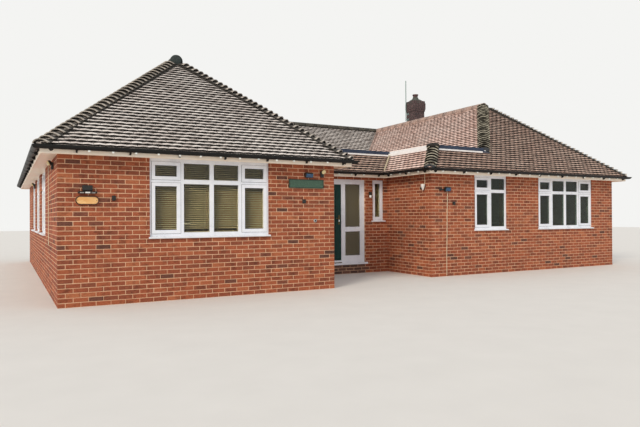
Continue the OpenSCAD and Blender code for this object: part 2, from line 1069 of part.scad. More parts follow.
// Entrance

module door_frame() {
    hole_z = door_foot + threshold_h;
    hole_h = door_top - door_head - hole_z;
    upper_z = mid_rail_z + mid_rail_h;
    color("white")
        on(entrance_face) {
            difference() {
                board(door_x, door_foot, door_set_w, door_top - door_foot, door_in, frame_d);
                board(door_x + jamb_w + lip_w, hole_z, door_clear - 2 * lip_w, hole_h - lip_w,
                    door_in - 1, frame_d + 2);
                board(door_x + jamb_w, hole_z, door_clear, hole_h, door_in + lip_t, frame_d);
                board(side_x, foot_rail_z, side_w, mid_rail_z - foot_rail_z, door_in - 1, frame_d + 2);
                board(side_x, upper_z, side_w, door_top - door_head - upper_z, door_in - 1, frame_d + 2);
            }
            for (z = hinge_zs)
                frame_hinge(z);
        }
}

module sidelight_glass() {
    color("tan")
        on(entrance_face) {
            board(side_x, foot_rail_z, side_w, mid_rail_z - foot_rail_z,
                door_in + side_glass_in, glass_t);
            board(side_x, mid_rail_z + mid_rail_h, side_w,
                door_top - door_head - mid_rail_z - mid_rail_h, door_in + side_glass_in, glass_t);
        }
}

module door_sill() {
    color("white")
        on(entrance_face) {
            board(door_x, floor_h, door_set_w, door_sill_t, 0, door_in + frame_d);
            board(door_x - sill_out, floor_h, door_set_w + 2 * sill_out, door_sill_t, -sill_out, sill_out);
        }
}

// Turns the leaf and what it carries about the hinge line
module swung() {
    on(entrance_face)
        translate([hinge_x, hinge_y, 0])
            rotate([0, 0, door_open])
                translate([-hinge_x, -hinge_y, 0])
                    children();
}

module front_door() {
    groove_step = 80;
    groove_w = 8;
    groove_d = 5;
    foot_rail = 140;
    lock_rail = 110;
    panel_z = leaf_z + foot_rail;
    panel_h = pane_z - lock_rail - panel_z;
    grooves = floor(pane_w / groove_step);
    color("darkgreen")
        swung() {
            difference() {
                board(leaf_x, leaf_z, leaf_w, leaf_top - leaf_z, leaf_in, leaf_t);
                board(leaf_pane_x, pane_z, pane_w, pane_h, leaf_in - 1, leaf_t + 2);
                for (i = [0 : grooves])
                    board(leaf_pane_x + i * groove_step, panel_z, groove_w, panel_h,
                        leaf_in - 1, groove_d + 1);
            }
            for (z = hinge_zs)
                difference() {
                    union() {
                        translate([hinge_x, hinge_y, z - knuckle_h / 2])
                            cylinder(r = hinge_r, h = knuckle_h);
                        board(hinge_x, z - knuckle_h / 2, flag_w, knuckle_h, leaf_in + leaf_t, hinge_out);
                    }
                    translate([hinge_x, hinge_y, z - knuckle_h])
                        cylinder(r = hinge_pin_r + pin_gap, h = 2 * knuckle_h);
                }
        }
}

// The frame's half of a hinge: pin, two knuckles and a plate on the jamb
module frame_hinge(z) {
    end_h = knuckle_h / 3;
    plate_d = 5;
    translate([hinge_x, hinge_y, z - knuckle_h / 2 - end_h])
        cylinder(r = hinge_pin_r, h = knuckle_h + 2 * end_h);
    for (low = [z - knuckle_h / 2 - end_h, z + knuckle_h / 2 + pin_gap]) {
        translate([hinge_x, hinge_y, low])
            cylinder(r = hinge_r, h = end_h - pin_gap);
        board(hinge_x - hinge_r, low, hinge_r, end_h - pin_gap, door_in + frame_d, hinge_out);
    }
    board(hinge_x - hinge_r - flag_w, z - knuckle_h / 2 - end_h, flag_w, knuckle_h + 2 * end_h,
        door_in + frame_d, plate_d);
    for (low = [z - knuckle_h / 2 - end_h, z + knuckle_h / 2 + pin_gap])
        board(hinge_x - 2 * hinge_r, low, hinge_r, end_h - pin_gap, door_in + frame_d, hinge_out / 2);
}

module door_glass() {
    color("lightsteelblue")
        swung()
            board(leaf_pane_x, pane_z, pane_w, pane_h, leaf_in + pane_back, glass_t);
}

// Handle plate and lever, standing out from a face towards the front
module lever() {
    back_w = 34;
    back_h = 230;
    back_t = 8;
    lever_r = 9;
    lever_up = 40;
    lever_out = 40;
    lever_l = 125;
    reach = back_t + lever_out;
    board(-back_w / 2, handle_z - back_h / 2, back_w, back_h, -back_t, back_t);
    translate([0, 0, handle_z + lever_up])
        rotate([90, 0, 0])
            cylinder(r = lever_r, h = reach);
    translate([lever_r, lever_r - reach, handle_z + lever_up])
        rotate([0, -90, 0])
            cylinder(r = lever_r, h = lever_l);
}

module door_handles() {
    color("gold")
        swung()
            translate([leaf_x + leaf_w - handle_in, leaf_in, 0]) {
                lever();
                translate([0, leaf_t, 0])
                    mirror([0, 1, 0])
                        lever();
            }
}

// Chimney

// The stack's square shaft, cut from all that it passes through
module stack_shaft() {
    translate([stack_x - stack_w / 2, stack_y - stack_w / 2, 0])
        cube([stack_w, stack_w, stack_z]);
}

module chimney_stack() {
    color("brown")
        difference() {
            union() {
                translate([stack_x - stack_w / 2, stack_y - stack_w / 2, floor_h])
                    cube([stack_w, stack_w, corbel_z - floor_h]);
                for (i = [0 : len(corbels) - 1]) {
                    w = stack_w + 2 * corbels[i];
                    translate([stack_x - w / 2, stack_y - w / 2, corbel_z + i * course])
                        cube([w, w, course]);
                }
            }
            translate([stack_x, stack_y, stack_z - flue_depth])
                cylinder(r = pot_r - pot_t, h = flue_depth + 1);
        }
}

module chimney_flaunching() {
    base = stack_w / 2 + corbels[len(corbels) - 1];
    corner = base * sqrt(2);
    edge_h = 15;
    fall = flaunching_h - edge_h;
    dome_r = (corner * corner + fall * fall) / (2 * fall);
    color("gray")
        translate([stack_x, stack_y, stack_z])
            difference() {
                intersection() {
                    translate([0, 0, flaunching_h - dome_r])
                        sphere(r = dome_r);
                    translate([-base, -base, 0])
                        cube([2 * base, 2 * base, flaunching_h]);
                }
                translate([0, 0, -1])
                    cylinder(r = pot_r, h = flaunching_h + 2);
            }
}

module chimney_pot() {
    rim = 12;
    rim_h = 38;
    waist = 8;
    color("firebrick")
        translate([stack_x, stack_y, stack_z])
            rotate_extrude()
                polygon([
                    [pot_r - pot_t, 0],
                    [pot_r, 0],
                    [pot_r, flaunching_h],
                    [pot_r - waist, flaunching_h + waist],
                    [pot_r - waist, pot_h - rim_h - rim],
                    [pot_r + rim, pot_h - rim_h],
                    [pot_r + rim, pot_h],
                    [pot_r - pot_t, pot_h]
                ]);
}

// Aerial mast beside the stack, held by two brackets on plates
module aerial_mast() {
    x = stack_x - stack_w / 2 - mast_off;
    y = stack_y + stack_w / 2 - mast_in;
    low = corbel_z - mast_lap;
    color("lightgray") {
        translate([x, y, low])
            cylinder(d = mast_d, h = stack_z + mast_rise - low);
        for (z = [low + bracket_in, corbel_z - bracket_in]) {
            translate([x, y - bracket_w / 2, z])
                cube([mast_off - bracket_t, bracket_w, bracket_t]);
            translate([x + mast_off - bracket_t, y - bracket_plate / 2, z - bracket_w])
                cube([bracket_t, bracket_plate, 2 * bracket_w]);
        }
    }
}

// Fittings on the walls

module oval_plaque() {
    color("peru")
        on(front_face)
            translate([plaque_x, 0, plaque_z])
                rotate([90, 0, 0])
                    linear_extrude(plate_t)
                        union() {
                            square([plaque_w - plaque_h, plaque_h], center = true);
                            for (s = [-1, 1])
                                translate([s * (plaque_w - plaque_h) / 2, 0])
                                    circle(plaque_h / 2);
                        }
}

module long_board() {
    color("seagreen")
        on(front_face)
            board(board_x - board_w / 2, board_z - board_h / 2, board_w, board_h, -plate_t, plate_t);
}

// Boxes on a wall from a list of their sizes
module fittings_on(face, list) {
    on(face)
        for (f = list)
            board(f[0], f[1], f[2], f[3], -f[4], f[4]);
}

// Spotlight: a body on the wall and a round head on a short arm
module spot(x, z) {
    body_h = 2.8 * spot_r;
    arm_r = 14;
    arm_up = 50;
    reach = 2 * spot_r;
    board(x - spot_r, z - body_h / 2, 2 * spot_r, body_h, -spot_r, spot_r);
    translate([x, 0, z + arm_up]) {
        rotate([90, 0, 0])
            cylinder(r = arm_r, h = reach);
        translate([0, -reach, 0])
            sphere(spot_r);
    }
}

// Cone-shaped lamp with a movement sensor beside it
module cone_lamp(x, z) {
    cone_r = 75;
    cone_h = 150;
    sensor = 50;
    board(x - sensor / 2, z - sensor, sensor, sensor, -cone_r, cone_r);
    board(x - 3 * sensor, z - sensor, 3 * sensor, sensor, -sensor, sensor);
    translate([x, -cone_r - 5, z - cone_h / 2])
        cylinder(r1 = sensor / 4, r2 = cone_r, h = cone_h);
}

module wall_lamps() {
    color([0.15, 0.15, 0.16]) {
        fittings_on(front_face, front_lamps);
        fittings_on(right_front_face, right_front_lamps);
        fittings_on(entrance_face, entrance_lamps);
        for (s = spots)
            on(s[0])
                spot(s[1], s[2]);
        on(return_face)
            cone_lamp(entry_setback - 875, 2095);
    }
}

module wall_boxes() {
    color([0.2, 0.2, 0.2])
        fittings_on(front_face, front_boxes);
}

// Draws everything about the middle of the plan
module centred() {
    translate([-house_w / 2, -house_d / 2, 0])
        children();
}

centred() floor_slab();
centred() left_wing_front_wall();
centred() left_side_wall();
centred() recess_side_wall();
centred() entrance_wall_left();
centred() entrance_wall_right();
centred() entrance_wall_head();
centred() entrance_plinth();
centred() return_wall();
centred() right_front_wall();
centred() right_side_wall();
centred() rear_wall();
centred() ceiling();
centred() left_roof();
centred() rear_roof();
centred() right_roof();
centred() skirt_roof();
centred() flat_roof();
centred() roof_edge_trim();
centred() ridge_tiles();
centred() hip_tiles();
centred() soffits();
centred() fascias();
centred() gutters();
centred() downpipes();
centred() front_window_frames();
centred() side_window_frames();
centred() rear_window_frames();
centred() window_glass();
centred() window_sills();
centred() window_blinds();
centred() door_frame();
centred() sidelight_glass();
centred() door_sill();
centred() front_door();
centred() door_glass();
centred() door_handles();
centred() chimney_stack();
centred() chimney_flaunching();
centred() chimney_pot();
centred() aerial_mast();
centred() oval_plaque();
centred() long_board();
centred() wall_lamps();
centred() wall_boxes();
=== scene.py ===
import itertools
import math
import random

import bmesh
import bpy
from mathutils import Matrix, Vector


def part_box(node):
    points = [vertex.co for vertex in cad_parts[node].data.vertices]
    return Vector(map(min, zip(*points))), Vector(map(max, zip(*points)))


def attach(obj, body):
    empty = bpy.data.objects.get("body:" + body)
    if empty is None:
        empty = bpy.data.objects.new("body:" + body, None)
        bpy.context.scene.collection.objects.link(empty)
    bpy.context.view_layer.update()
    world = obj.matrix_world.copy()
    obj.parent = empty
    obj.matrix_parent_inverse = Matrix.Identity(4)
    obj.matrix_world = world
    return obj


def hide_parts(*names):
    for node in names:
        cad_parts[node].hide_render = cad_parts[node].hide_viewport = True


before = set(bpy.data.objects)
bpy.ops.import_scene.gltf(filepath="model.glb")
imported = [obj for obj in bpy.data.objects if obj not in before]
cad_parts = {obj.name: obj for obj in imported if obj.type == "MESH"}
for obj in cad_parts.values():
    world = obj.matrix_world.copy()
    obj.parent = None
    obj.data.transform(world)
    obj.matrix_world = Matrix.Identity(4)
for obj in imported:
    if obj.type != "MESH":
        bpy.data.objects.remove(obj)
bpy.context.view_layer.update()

# Floor slab and rooms
# The floor is a concrete slab poured inside the brickwork, and the rooms have a plasterboard
# ceiling. Both are seen only through the glass and past the open door.


def linear(code):
    """An sRGB hex colour as the linear colour that a shader needs"""
    shades = [int(code[i:i + 2], 16) / 255 for i in (1, 3, 5)]
    return [s / 12.92 if s <= 0.04045 else ((s + 0.055) / 1.055) ** 2.4 for s in shades] + [1.0]


def add(tree, kind, inputs=(), stops=(), **settings):
    """Adds a node, sets it, and gives its inputs, by name or in order, their values or links. A
    kind without a family is a shader's, and a node stands for its first output."""
    node = tree.nodes.new(kind if "Node" in kind else "ShaderNode" + kind)
    for key, value in settings.items():
        setattr(node, key, value)
    for i, (place, code) in enumerate(stops):
        ramp = node.color_ramp.elements
        stop = ramp[0] if i == 0 else ramp[-1] if i == len(stops) - 1 else ramp.new(place)
        stop.position, stop.color = place, linear(code)
    for key, value in inputs.items() if isinstance(inputs, dict) else enumerate(inputs):
        if isinstance(value, bpy.types.Node):
            value = value.outputs[0]
        if isinstance(value, bpy.types.NodeSocket):
            tree.links.new(value, node.inputs[key])
        else:
            node.inputs[key].default_value = linear(value) if str(value)[0] == "#" else value
    return node


def finish(name):
    """A new finish, its node tree, and the spot on the object that its patterns follow"""
    made = bpy.data.materials.new(name)
    made.use_nodes = True
    made.node_tree.nodes.clear()
    return made, made.node_tree, add(made.node_tree, "TexCoord").outputs["Object"]


def dress(made, *nodes):
    """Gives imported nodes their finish"""
    for node in nodes:
        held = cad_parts[node]
        if not held.material_slots:
            held.data.materials.append(made)
        for place in held.material_slots:
            place.material = made


def surface(tree, colour, roughness, height, strength, depth, **more):
    """Ends a finish with its relief, its gloss and its colour"""
    rough = add(tree, "Bump", {"Height": height, "Strength": strength, "Distance": depth})
    skin = add(tree, "BsdfPrincipled", {
        "Base Color": colour, "Roughness": roughness, "Normal": rough, **more})
    add(tree, "OutputMaterial", {"Surface": skin})


def mottled(name, stops, patch, grain, roughness, depth, stretch=(1, 1, 1), **more):
    """A finish whose colour and gloss drift over patches, with a finer grain, both in metres"""
    made, tree, spot = finish(name)
    drawn = add(tree, "Mapping", {"Vector": spot, "Scale": stretch})
    bloom = add(tree, "TexNoise", {
        "Vector": drawn, "Scale": 1 / patch, "Detail": 5.0, "Roughness": 0.6})
    grit = add(tree, "TexNoise", {"Vector": drawn, "Scale": 1 / grain, "Detail": 3.0})
    both = add(tree, "Math", [grit, 0.35, bloom], operation="MULTIPLY_ADD")
    fade = add(tree, "MapRange", [both, 0.5, 0.85])
    shade = add(tree, "ValToRGB", {"Fac": fade},
                [(k / (len(stops) - 1), code) for k, code in enumerate(stops)])
    gloss = add(tree, "MapRange", [bloom, 0.3, 0.7, roughness - 0.07, roughness + 0.05])
    surface(tree, shade, gloss, grit, 0.6, depth, **more)
    return made


# Floated concrete: grey, matt, with cement blooms about 200 mm wide and sand under 2 mm
dress(mottled("floated_concrete", ("#8D8983", "#B0ABA2"), 0.2, 0.002, 0.85, 0.001),
      "floor_slab")

# Emulsion on plasterboard: chalky white with the faint stipple that a roller leaves, 3 mm apart
dress(mottled("rolled_emulsion", ("#E2DED6", "#ECE9E2"), 0.5, 0.003, 0.8, 0.0005), "ceiling")

# Brick walls
# The outer skin is sand-faced clay brick in stretcher bond, 215 by 65 mm with 10 mm joints. The
# packed walls are its pale mortar; the bricks stand 3 mm proud of it and go 30 mm in. At a corner
# one brick turns from wall to wall, and the courses change places.

site_x, site_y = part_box("left_wing_front_wall")[0][:2]


def on_wall(wall, along, inward, up):
    """A point of a wall, along it as seen from outside, into the building, and up"""
    x, y, turn, _ = wall
    c, s = math.cos(math.radians(turn)), math.sin(math.radians(turn))
    return (site_x + x + c * along - s * inward, site_y + y + s * along + c * inward, up)


def set_at(wall, along, inward, up, size=(1, 1, 1), tip=0):
    """A unit's place on a wall: its point, its turn, tipped back from the wall's, and its size"""
    return on_wall(wall, along, inward, up), (tip, 0, math.radians(wall[2])), size


# Left end, turn and length of each wall seen from outside, going round the house
round_house = [
    (0.0, 0.0, 0, 4.95), (4.95, 0.0, 90, 2.34), (4.95, 2.34, 0, 2.95), (7.9, 2.34, -90, 1.74),
    (7.9, 0.6, 0, 6.6), (14.5, 0.6, 90, 10.65), (14.5, 11.25, 180, 14.5), (0.0, 11.25, -90, 11.25)]
(front_wall, recess_wall, entrance_wall, return_wall,
 right_front_wall, right_wall, rear_wall, left_wall) = round_house
side_edge, light_wide, bar_wide = 0.05, 0.462, 0.072


def window_width(lights):
    """Width of a frame with so many lights, its sides and the bars between them"""
    return 2 * side_edge + light_wide * lights + bar_wide * (lights - 1)


# Wall, left edge and number of lights of each window
windows = [
    (front_wall, 1.4, 4), (right_front_wall, 1.33, 2), (right_front_wall, 3.56, 4),
    (left_wall, 2.22, 3), (left_wall, 4.37, 3), (left_wall, 6.62, 3), (right_wall, 2.5, 4),
    (right_wall, 7.0, 2), (rear_wall, 1.3, 4), (rear_wall, 4.8, 2), (rear_wall, 8.6, 2),
    (rear_wall, 11.0, 4)]
sill_z, wall_top, door_top = 1.05, 2.4, 2.33
door_x, door_set, floor_z = 0.6, 1.675, 0.225
narrow_x, narrow_width, narrow_foot = 2.497, 0.33, 1.275
holes = [(wall, x, x + window_width(n), sill_z, wall_top) for wall, x, n in windows] + [
    (entrance_wall, door_x, door_x + door_set, floor_z, door_top),
    (entrance_wall, narrow_x, narrow_x + narrow_width, narrow_foot, door_top)]

joint, courses, least_brick, same_spot = 0.01, 32, 0.012, 0.001
brick_long, brick_high, brick_apart, course_high = 0.215, 0.065, 0.225, 0.075
quoin_long, quoin_deep = 0.219, 0.1065
proud, bed, chamfer = 0.003, 0.03, 0.003


def piece(name, points, faces, made, smooth=False):
    """A new object from its points and faces, all turned outwards, with its finish"""
    mesh = bpy.data.meshes.new(name)
    mesh.from_pydata([tuple(p) for p in points], [], faces)
    shell = bmesh.new()
    shell.from_mesh(mesh)
    bmesh.ops.recalc_face_normals(shell, faces=shell.faces)
    shell.to_mesh(mesh)
    shell.free()
    mesh.materials.append(made)
    mesh.update()
    if smooth:
        mesh.shade_smooth()
    held = bpy.data.objects.new(name, mesh)
    bpy.context.collection.objects.link(held)
    return held


# Puts a unit on every point, turned and sized by the point, each with a tone of its own
setting_out = tree = bpy.data.node_groups.new("setting_out", "GeometryNodeTree")
for name, way, kind in (
        ("Points", "INPUT", "Geometry"), ("Unit", "INPUT", "Object"),
        ("Finish", "INPUT", "Material"), ("Wander", "INPUT", "Float"),
        ("Lean", "INPUT", "Float"), ("Seed", "INPUT", "Int"), ("Laid", "OUTPUT", "Geometry")):
    tree.interface.new_socket(name, in_out=way, socket_type="NodeSocket" + kind)
given = add(tree, "NodeGroupInput").outputs
each_way = {0: (-1, -1, -1), 1: (1, 1, 1), "Seed": given["Seed"]}
vector = {"data_type": "FLOAT_VECTOR"}
shift = add(tree, "FunctionNodeRandomValue", each_way, **vector)
moved = add(tree, "VectorMath", {0: shift, "Scale": given["Wander"]}, operation="SCALE")
spread = add(tree, "GeometryNodeSetPosition", {"Geometry": given["Points"], "Offset": moved})
index = add(tree, "GeometryNodeInputIndex")
tip = add(tree, "FunctionNodeRandomValue", {**each_way, "ID": index}, **vector)
tipped = add(tree, "VectorMath", {0: tip, "Scale": given["Lean"]}, operation="SCALE")
turn, size = [add(tree, "GeometryNodeInputNamedAttribute", {"Name": name}, **vector)
              for name in ("turn", "size")]
aimed = add(tree, "VectorMath", {0: turn, 1: tipped}, operation="ADD")
unit = add(tree, "GeometryNodeObjectInfo", {"Object": given["Unit"]}).outputs["Geometry"]
laid = add(tree, "GeometryNodeInstanceOnPoints", {
    "Points": spread, "Instance": unit, "Rotation": aimed, "Scale": size})
tone = add(tree, "FunctionNodeRandomValue", {"Seed": given["Seed"]}, data_type="FLOAT")
toned = add(tree, "GeometryNodeStoreNamedAttribute", {
    "Geometry": laid, "Name": "tone", "Value": tone.outputs[1]},
    domain="INSTANCE", data_type="FLOAT")
real = add(tree, "GeometryNodeRealizeInstances", {"Geometry": toned})
faced = add(tree, "GeometryNodeSetMaterial", {"Geometry": real, "Material": given["Finish"]})
add(tree, "NodeGroupOutput", {"Laid": faced})


def set_out(name, places, unit, made, wander=0.0, lean=0.0, seed=1):
    """Sets a unit out on places, each a point, a turn and a size, as one plain mesh"""
    held = piece(name, [p[0] for p in places], [], made)
    for key, column in (("turn", 1), ("size", 2)):
        layer = held.data.attributes.new(key, "FLOAT_VECTOR", "POINT")
        layer.data.foreach_set("vector", [v for p in places for v in p[column]])
    laid = held.modifiers.new("laid", "NODES")
    laid.node_group = setting_out
    given = {"Unit": unit, "Finish": made, "Wander": wander, "Lean": lean, "Seed": seed}
    for socket in setting_out.interface.items_tree:
        if socket.in_out == "INPUT" and socket.name in given:
            laid[socket.identifier] = given[socket.name]
    ready = bpy.context.evaluated_depsgraph_get()
    mesh = bpy.data.meshes.new_from_object(
        held.evaluated_get(ready), preserve_all_data_layers=True, depsgraph=ready)
    held.modifiers.clear()
    held.data = mesh
    mesh.name = name
    return held


def put_away(*units):
    """Removes units that have been set out"""
    for unit in units:
        bpy.data.objects.remove(unit)


def shape_of(rings, closed=False):
    """Points and faces of a form given as rings of points, with its ends shut or, if it is closed,
    its last ring joined to its first"""
    n, m = len(rings[0]), len(rings)
    faces = [(k * n + i, (k + 1) % m * n + i, (k + 1) % m * n + (i + 1) % n, k * n + (i + 1) % n)
             for k in range(m if closed else m - 1) for i in range(n)]
    if not closed:
        faces += [tuple(range(n)), tuple(range(m * n - n, m * n))]
    return [p for ring in rings for p in ring], faces


def faced_brick():
    """A brick with its front edges worn, its face standing out from the mortar"""
    rings = []
    for edge, y in ((0, bed), (0, chamfer - proud), (chamfer, -proud)):
        x, z = brick_long / 2 - edge, brick_high / 2 - edge
        rings.append([(-x, y, -z), (x, y, -z), (x, y, z), (-x, y, z)])
    return shape_of(rings)


def worn_block(long, deep, high, edge):
    """A block about its middle with all its edges taken off"""
    half = (long / 2, deep / 2, high / 2)
    ring = [(-1, -1), (1, -1), (1, 1), (-1, 1)]
    points, faces, place = [], [], {}
    for c in itertools.product((-1, 1), repeat=3):
        for axis in range(3):
            place[c, axis] = len(points)
            points.append([c[k] * (half[k] - (0 if k == axis else edge)) for k in range(3)])
        faces.append([place[c, axis] for axis in range(3)])
    for axis in range(3):
        u, v = (axis + 1) % 3, (axis + 2) % 3

        def at(side, a, b):
            return tuple({axis: side, u: a, v: b}[k] for k in range(3))
        faces += [[place[at(side, a, b), axis] for a, b in ring] for side in (-1, 1)]
        for a, b in ring:
            low, top = at(-1, a, b), at(1, a, b)
            faces.append([place[low, u], place[top, u], place[top, v], place[low, v]])
    return points, faces


def brick_runs(wall, course, whole):
    """Start and end of each brick of a course, with the openings left out"""
    halves = round((wall[3] + joint) * 2 / brick_apart)
    half_long = (wall[3] + joint) / halves
    runs = [[max(at, 0) * half_long, min(at + 2, halves) * half_long - joint]
            for at in range(0 if whole else -1, halves, 2)]
    low, high = course * course_high + joint / 2, (course + 1) * course_high - joint / 2
    for where, left, right, foot, head in holes:
        if where is not wall or high <= foot or low > head - same_spot:
            continue
        kept = []
        for start, end in runs:
            if start < left + proud:
                kept.append([start, min(end, left + proud)])
            if end > right - proud:
                kept.append([max(start, right - proud), end])
        runs = kept
    return [r for r in runs if r[1] - r[0] > least_brick]


outer_corner = set(round_house) - {entrance_wall, return_wall}
face_places, corner_places, plinth_places = [], [], []
for course in range(courses):
    whole = course % 2 == 1
    up = course * course_high + joint / 2 + brick_high / 2
    ends = {}
    for wall in round_house:
        halves = round((wall[3] + joint) * 2 / brick_apart)
        ends[wall] = (whole, whole != (halves % 2 == 1), (wall[3] + joint) / halves)
        whole = not ends[wall][1]
    for i, wall in enumerate(round_house):
        first, _, half_long = ends[wall]
        runs = brick_runs(wall, course, first)
        if wall in outer_corner:
            runs = runs[1:]
            _, before_last, before_half = ends[round_house[i - 1]]
            reach, deep = half_long * (1 + first) - joint, before_half * (1 + before_last) - joint
            corner_places.append(set_at(wall, (reach - proud) / 2, (deep - proud) / 2, up, (
                (reach + proud) / quoin_long, (deep + proud) / quoin_deep, 1)))
        if round_house[(i + 1) % len(round_house)] in outer_corner:
            runs = runs[:-1]
        for low, high in runs:
            middle = (low + high) / 2
            under_door = wall is entrance_wall and up < floor_z and 0 < middle - door_x < door_set
            (plinth_places if under_door else face_places).append(
                set_at(wall, middle, 0, up, ((high - low) / brick_long, 1, 1)))

# Sand-faced clay brick: matt red and brown with darker burns, a grit of 1 to 2 mm, and creases
# some 15 mm apart where the clay was thrown into its mould; each brick has its own tone
brick, tree, spot = finish("sand_faced_clay_brick")
tone = add(tree, "Attribute", attribute_name="tone")
burn = add(tree, "TexNoise", {"Vector": spot, "Scale": 7.0, "Detail": 5.0, "Roughness": 0.65})
drawn = add(tree, "Mapping", {"Vector": spot, "Scale": (1.0, 1.0, 3.0)})
crease = add(tree, "TexNoise", {
    "Vector": drawn, "Scale": 26.0, "Detail": 5.0, "Roughness": 0.6, "Distortion": 0.5})
grit = add(tree, "TexNoise", {"Vector": spot, "Scale": 420.0, "Detail": 2.0})
shade = add(tree, "ValToRGB", {"Fac": tone.outputs["Fac"]}, [
    (0.0, "#6C483C"), (0.03, "#855342"), (0.08, "#98593F"), (0.3, "#A15C40"), (0.6, "#AC6343"),
    (0.88, "#B46B48"), (1.0, "#BC7954")])
burnt = add(tree, "ValToRGB", {"Fac": burn}, [(0.32, "#9C8A84"), (0.5, "#FFFFFF")])
mixed = add(tree, "Mix", {0: 0.6, 6: shade, 7: burnt}, data_type="RGBA", blend_type="MULTIPLY")
streak = add(tree, "ValToRGB", {"Fac": crease}, [
    (0.3, "#6E6E6E"), (0.5, "#8C8886"), (0.68, "#BDB2AA")])
sanded = add(tree, "Mix", {0: 0.8, 6: mixed.outputs[2], 7: streak},
             data_type="RGBA", blend_type="SOFT_LIGHT")
height = add(tree, "Math", [crease, grit], operation="ADD")
surface(tree, sanded.outputs[2], 0.9, height, 0.7, 0.003)

# Lime and sand mortar: pale buff, matt and gritty, washed paler where rain runs
mortar = mottled("lime_sand_mortar", ("#CDA17F", "#E4BC9A"), 0.25, 0.0022, 0.93, 0.002)
dress(mortar, "left_wing_front_wall", "left_side_wall", "recess_side_wall", "entrance_wall_left",
      "entrance_wall_right", "entrance_wall_head", "return_wall", "right_front_wall",
      "right_side_wall", "rear_wall", "entrance_plinth")

stretcher = piece("stretcher", *faced_brick(), brick)
quoin = piece("quoin", *worn_block(quoin_long, quoin_deep, brick_high, chamfer), brick)
brickwork = set_out("brickwork", face_places, stretcher, brick, 0.0008, 0.004, seed=3)
quoins = set_out("corner_bricks", corner_places, quoin, brick, seed=5)
for held in (brickwork, quoins):
    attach(held, "house")

# Plinth under the door
# Three courses of darker, harder burnt brick carry the door sill in the same bond.

# Engineering brick: dark purple-brown, dense, with a slight sheen and finer grit
plinth_brick, tree, spot = finish("dense_engineering_brick")
tone = add(tree, "Attribute", attribute_name="tone")
grit = add(tree, "TexNoise", {"Vector": spot, "Scale": 300.0, "Detail": 3.0})
shade = add(tree, "ValToRGB", {"Fac": tone.outputs["Fac"]}, [
    (0.0, "#4A332C"), (0.5, "#5E4035"), (1.0, "#6F4A3A")])
surface(tree, shade, 0.7, grit, 0.5, 0.002)
plinth = set_out("plinth_bricks", plinth_places, stretcher, plinth_brick, 0.0008, seed=7)
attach(plinth, "house")
put_away(stretcher, quoin)

# Roof slopes
# Plain clay tiles, 165 by 265 mm, hang by their nibs on battens 100 mm apart up the slope, so
# every course covers two thirds of the one below and each joint lies over a whole tile. They are
# slightly cambered, so their tails lift and show a thick edge, painted dark as shade, under a pale
# sunlit face.

pitch, slope_foot = math.radians(39), 2.745
rise = math.tan(pitch)
tile_edge, ridge_run, tile_courses = -0.29, 2.475, 35
tile_wide, tile_gap, tile_long, tile_thick = 0.165, 0.003, 0.130, 0.022
gauge_run = (ridge_run - tile_edge) / tile_courses
gauge = gauge_run / math.cos(pitch)
tail_lift, camber = 0.028, 0.008
nearly_whole, least_cut = 0.995, 0.0002
lie = math.atan2(tail_lift, gauge)


def cambered_tile():
    """A plain tile with its tail at the origin, hollow beneath, and how far up it each point is"""
    points, faces = [], []
    half_wide = (tile_wide - tile_gap) / 2
    for bottom in (0, 1):
        for y in (0.0, tile_long / 2, tile_long):
            for x in (-half_wide, 0.0, half_wide):
                if bottom and x == 0.0 and y == tile_long / 2:
                    continue
                across, along = 1 - (x / half_wide) ** 2, 1 - (2 * y / tile_long - 1) ** 2
                bow = camber * across + camber / 2 * along
                points.append((x, y, tail_lift + bow - bottom * tile_thick))
    faces = [(i, i + 1, i + 4, i + 3) for i in (0, 1, 3, 4)]
    top, under = [0, 1, 2, 5, 8, 7, 6, 3], [9, 10, 11, 13, 16, 15, 14, 12]
    faces += [(under[i - 1], under[i], top[i], top[i - 1]) for i in range(8)] + [tuple(under)]
    return points, faces, [p[1] / tile_long for p in points]


def note(held, name, values):
    """Keeps a number for each point of a piece"""
    held.data.attributes.new(name, "FLOAT", "POINT").data.foreach_set("value", values)


def gather(store, shape):
    """Adds a shape's points and faces to those gathered so far"""
    first = len(store[0])
    store[0].extend(shape[0])
    store[1].extend(tuple(first + i for i in face) for face in shape[1])


def clipped(outline, low_x, high_x, low_y, high_y):
    """The part of an outline inside a rectangle"""
    for axis, bound, side in ((0, low_x, 1), (0, high_x, -1), (1, low_y, 1), (1, high_y, -1)):
        kept = []
        for a, b in zip(outline, outline[1:] + outline[:1]):
            fa, fb = (a[axis] - bound) * side, (b[axis] - bound) * side
            if fa >= 0:
                kept.append(a)
            if fa * fb < 0:
                t = fa / (fa - fb)
                kept.append(tuple(p + t * (q - p) for p, q in zip(a, b)))
        outline = kept
    return outline


def area_of(outline):
    """Area of an outline"""
    pairs = zip(outline, outline[1:] + outline[:1])
    return abs(sum(a[0] * b[1] - b[0] * a[1] for a, b in pairs)) / 2


def lay_slope(wall, outline):
    """Whole tiles of a slope as places, and its cut ones as outlines with their course"""
    whole, cut = [], []
    low, high = min(p[0] for p in outline), max(p[0] for p in outline)
    cover = tile_long * math.cos(pitch)
    for course in range(tile_courses):
        tail = tile_edge + course * gauge_run
        first = (course % 2) * tile_wide / 2
        for i in range(math.floor((low - first) / tile_wide),
                       math.ceil((high - first) / tile_wide)):
            left = first + i * tile_wide + tile_gap / 2
            right = left + tile_wide - tile_gap
            shown = clipped(outline, left, right, tail, tail + cover)
            if area_of(shown) > nearly_whole * (right - left) * cover:
                whole.append(set_at(
                    wall, (left + right) / 2, tail, slope_foot + rise * tail, tip=pitch - lie))
            elif area_of(shown) > least_cut:
                cut.append((wall, tail, shown))
    return whole, cut


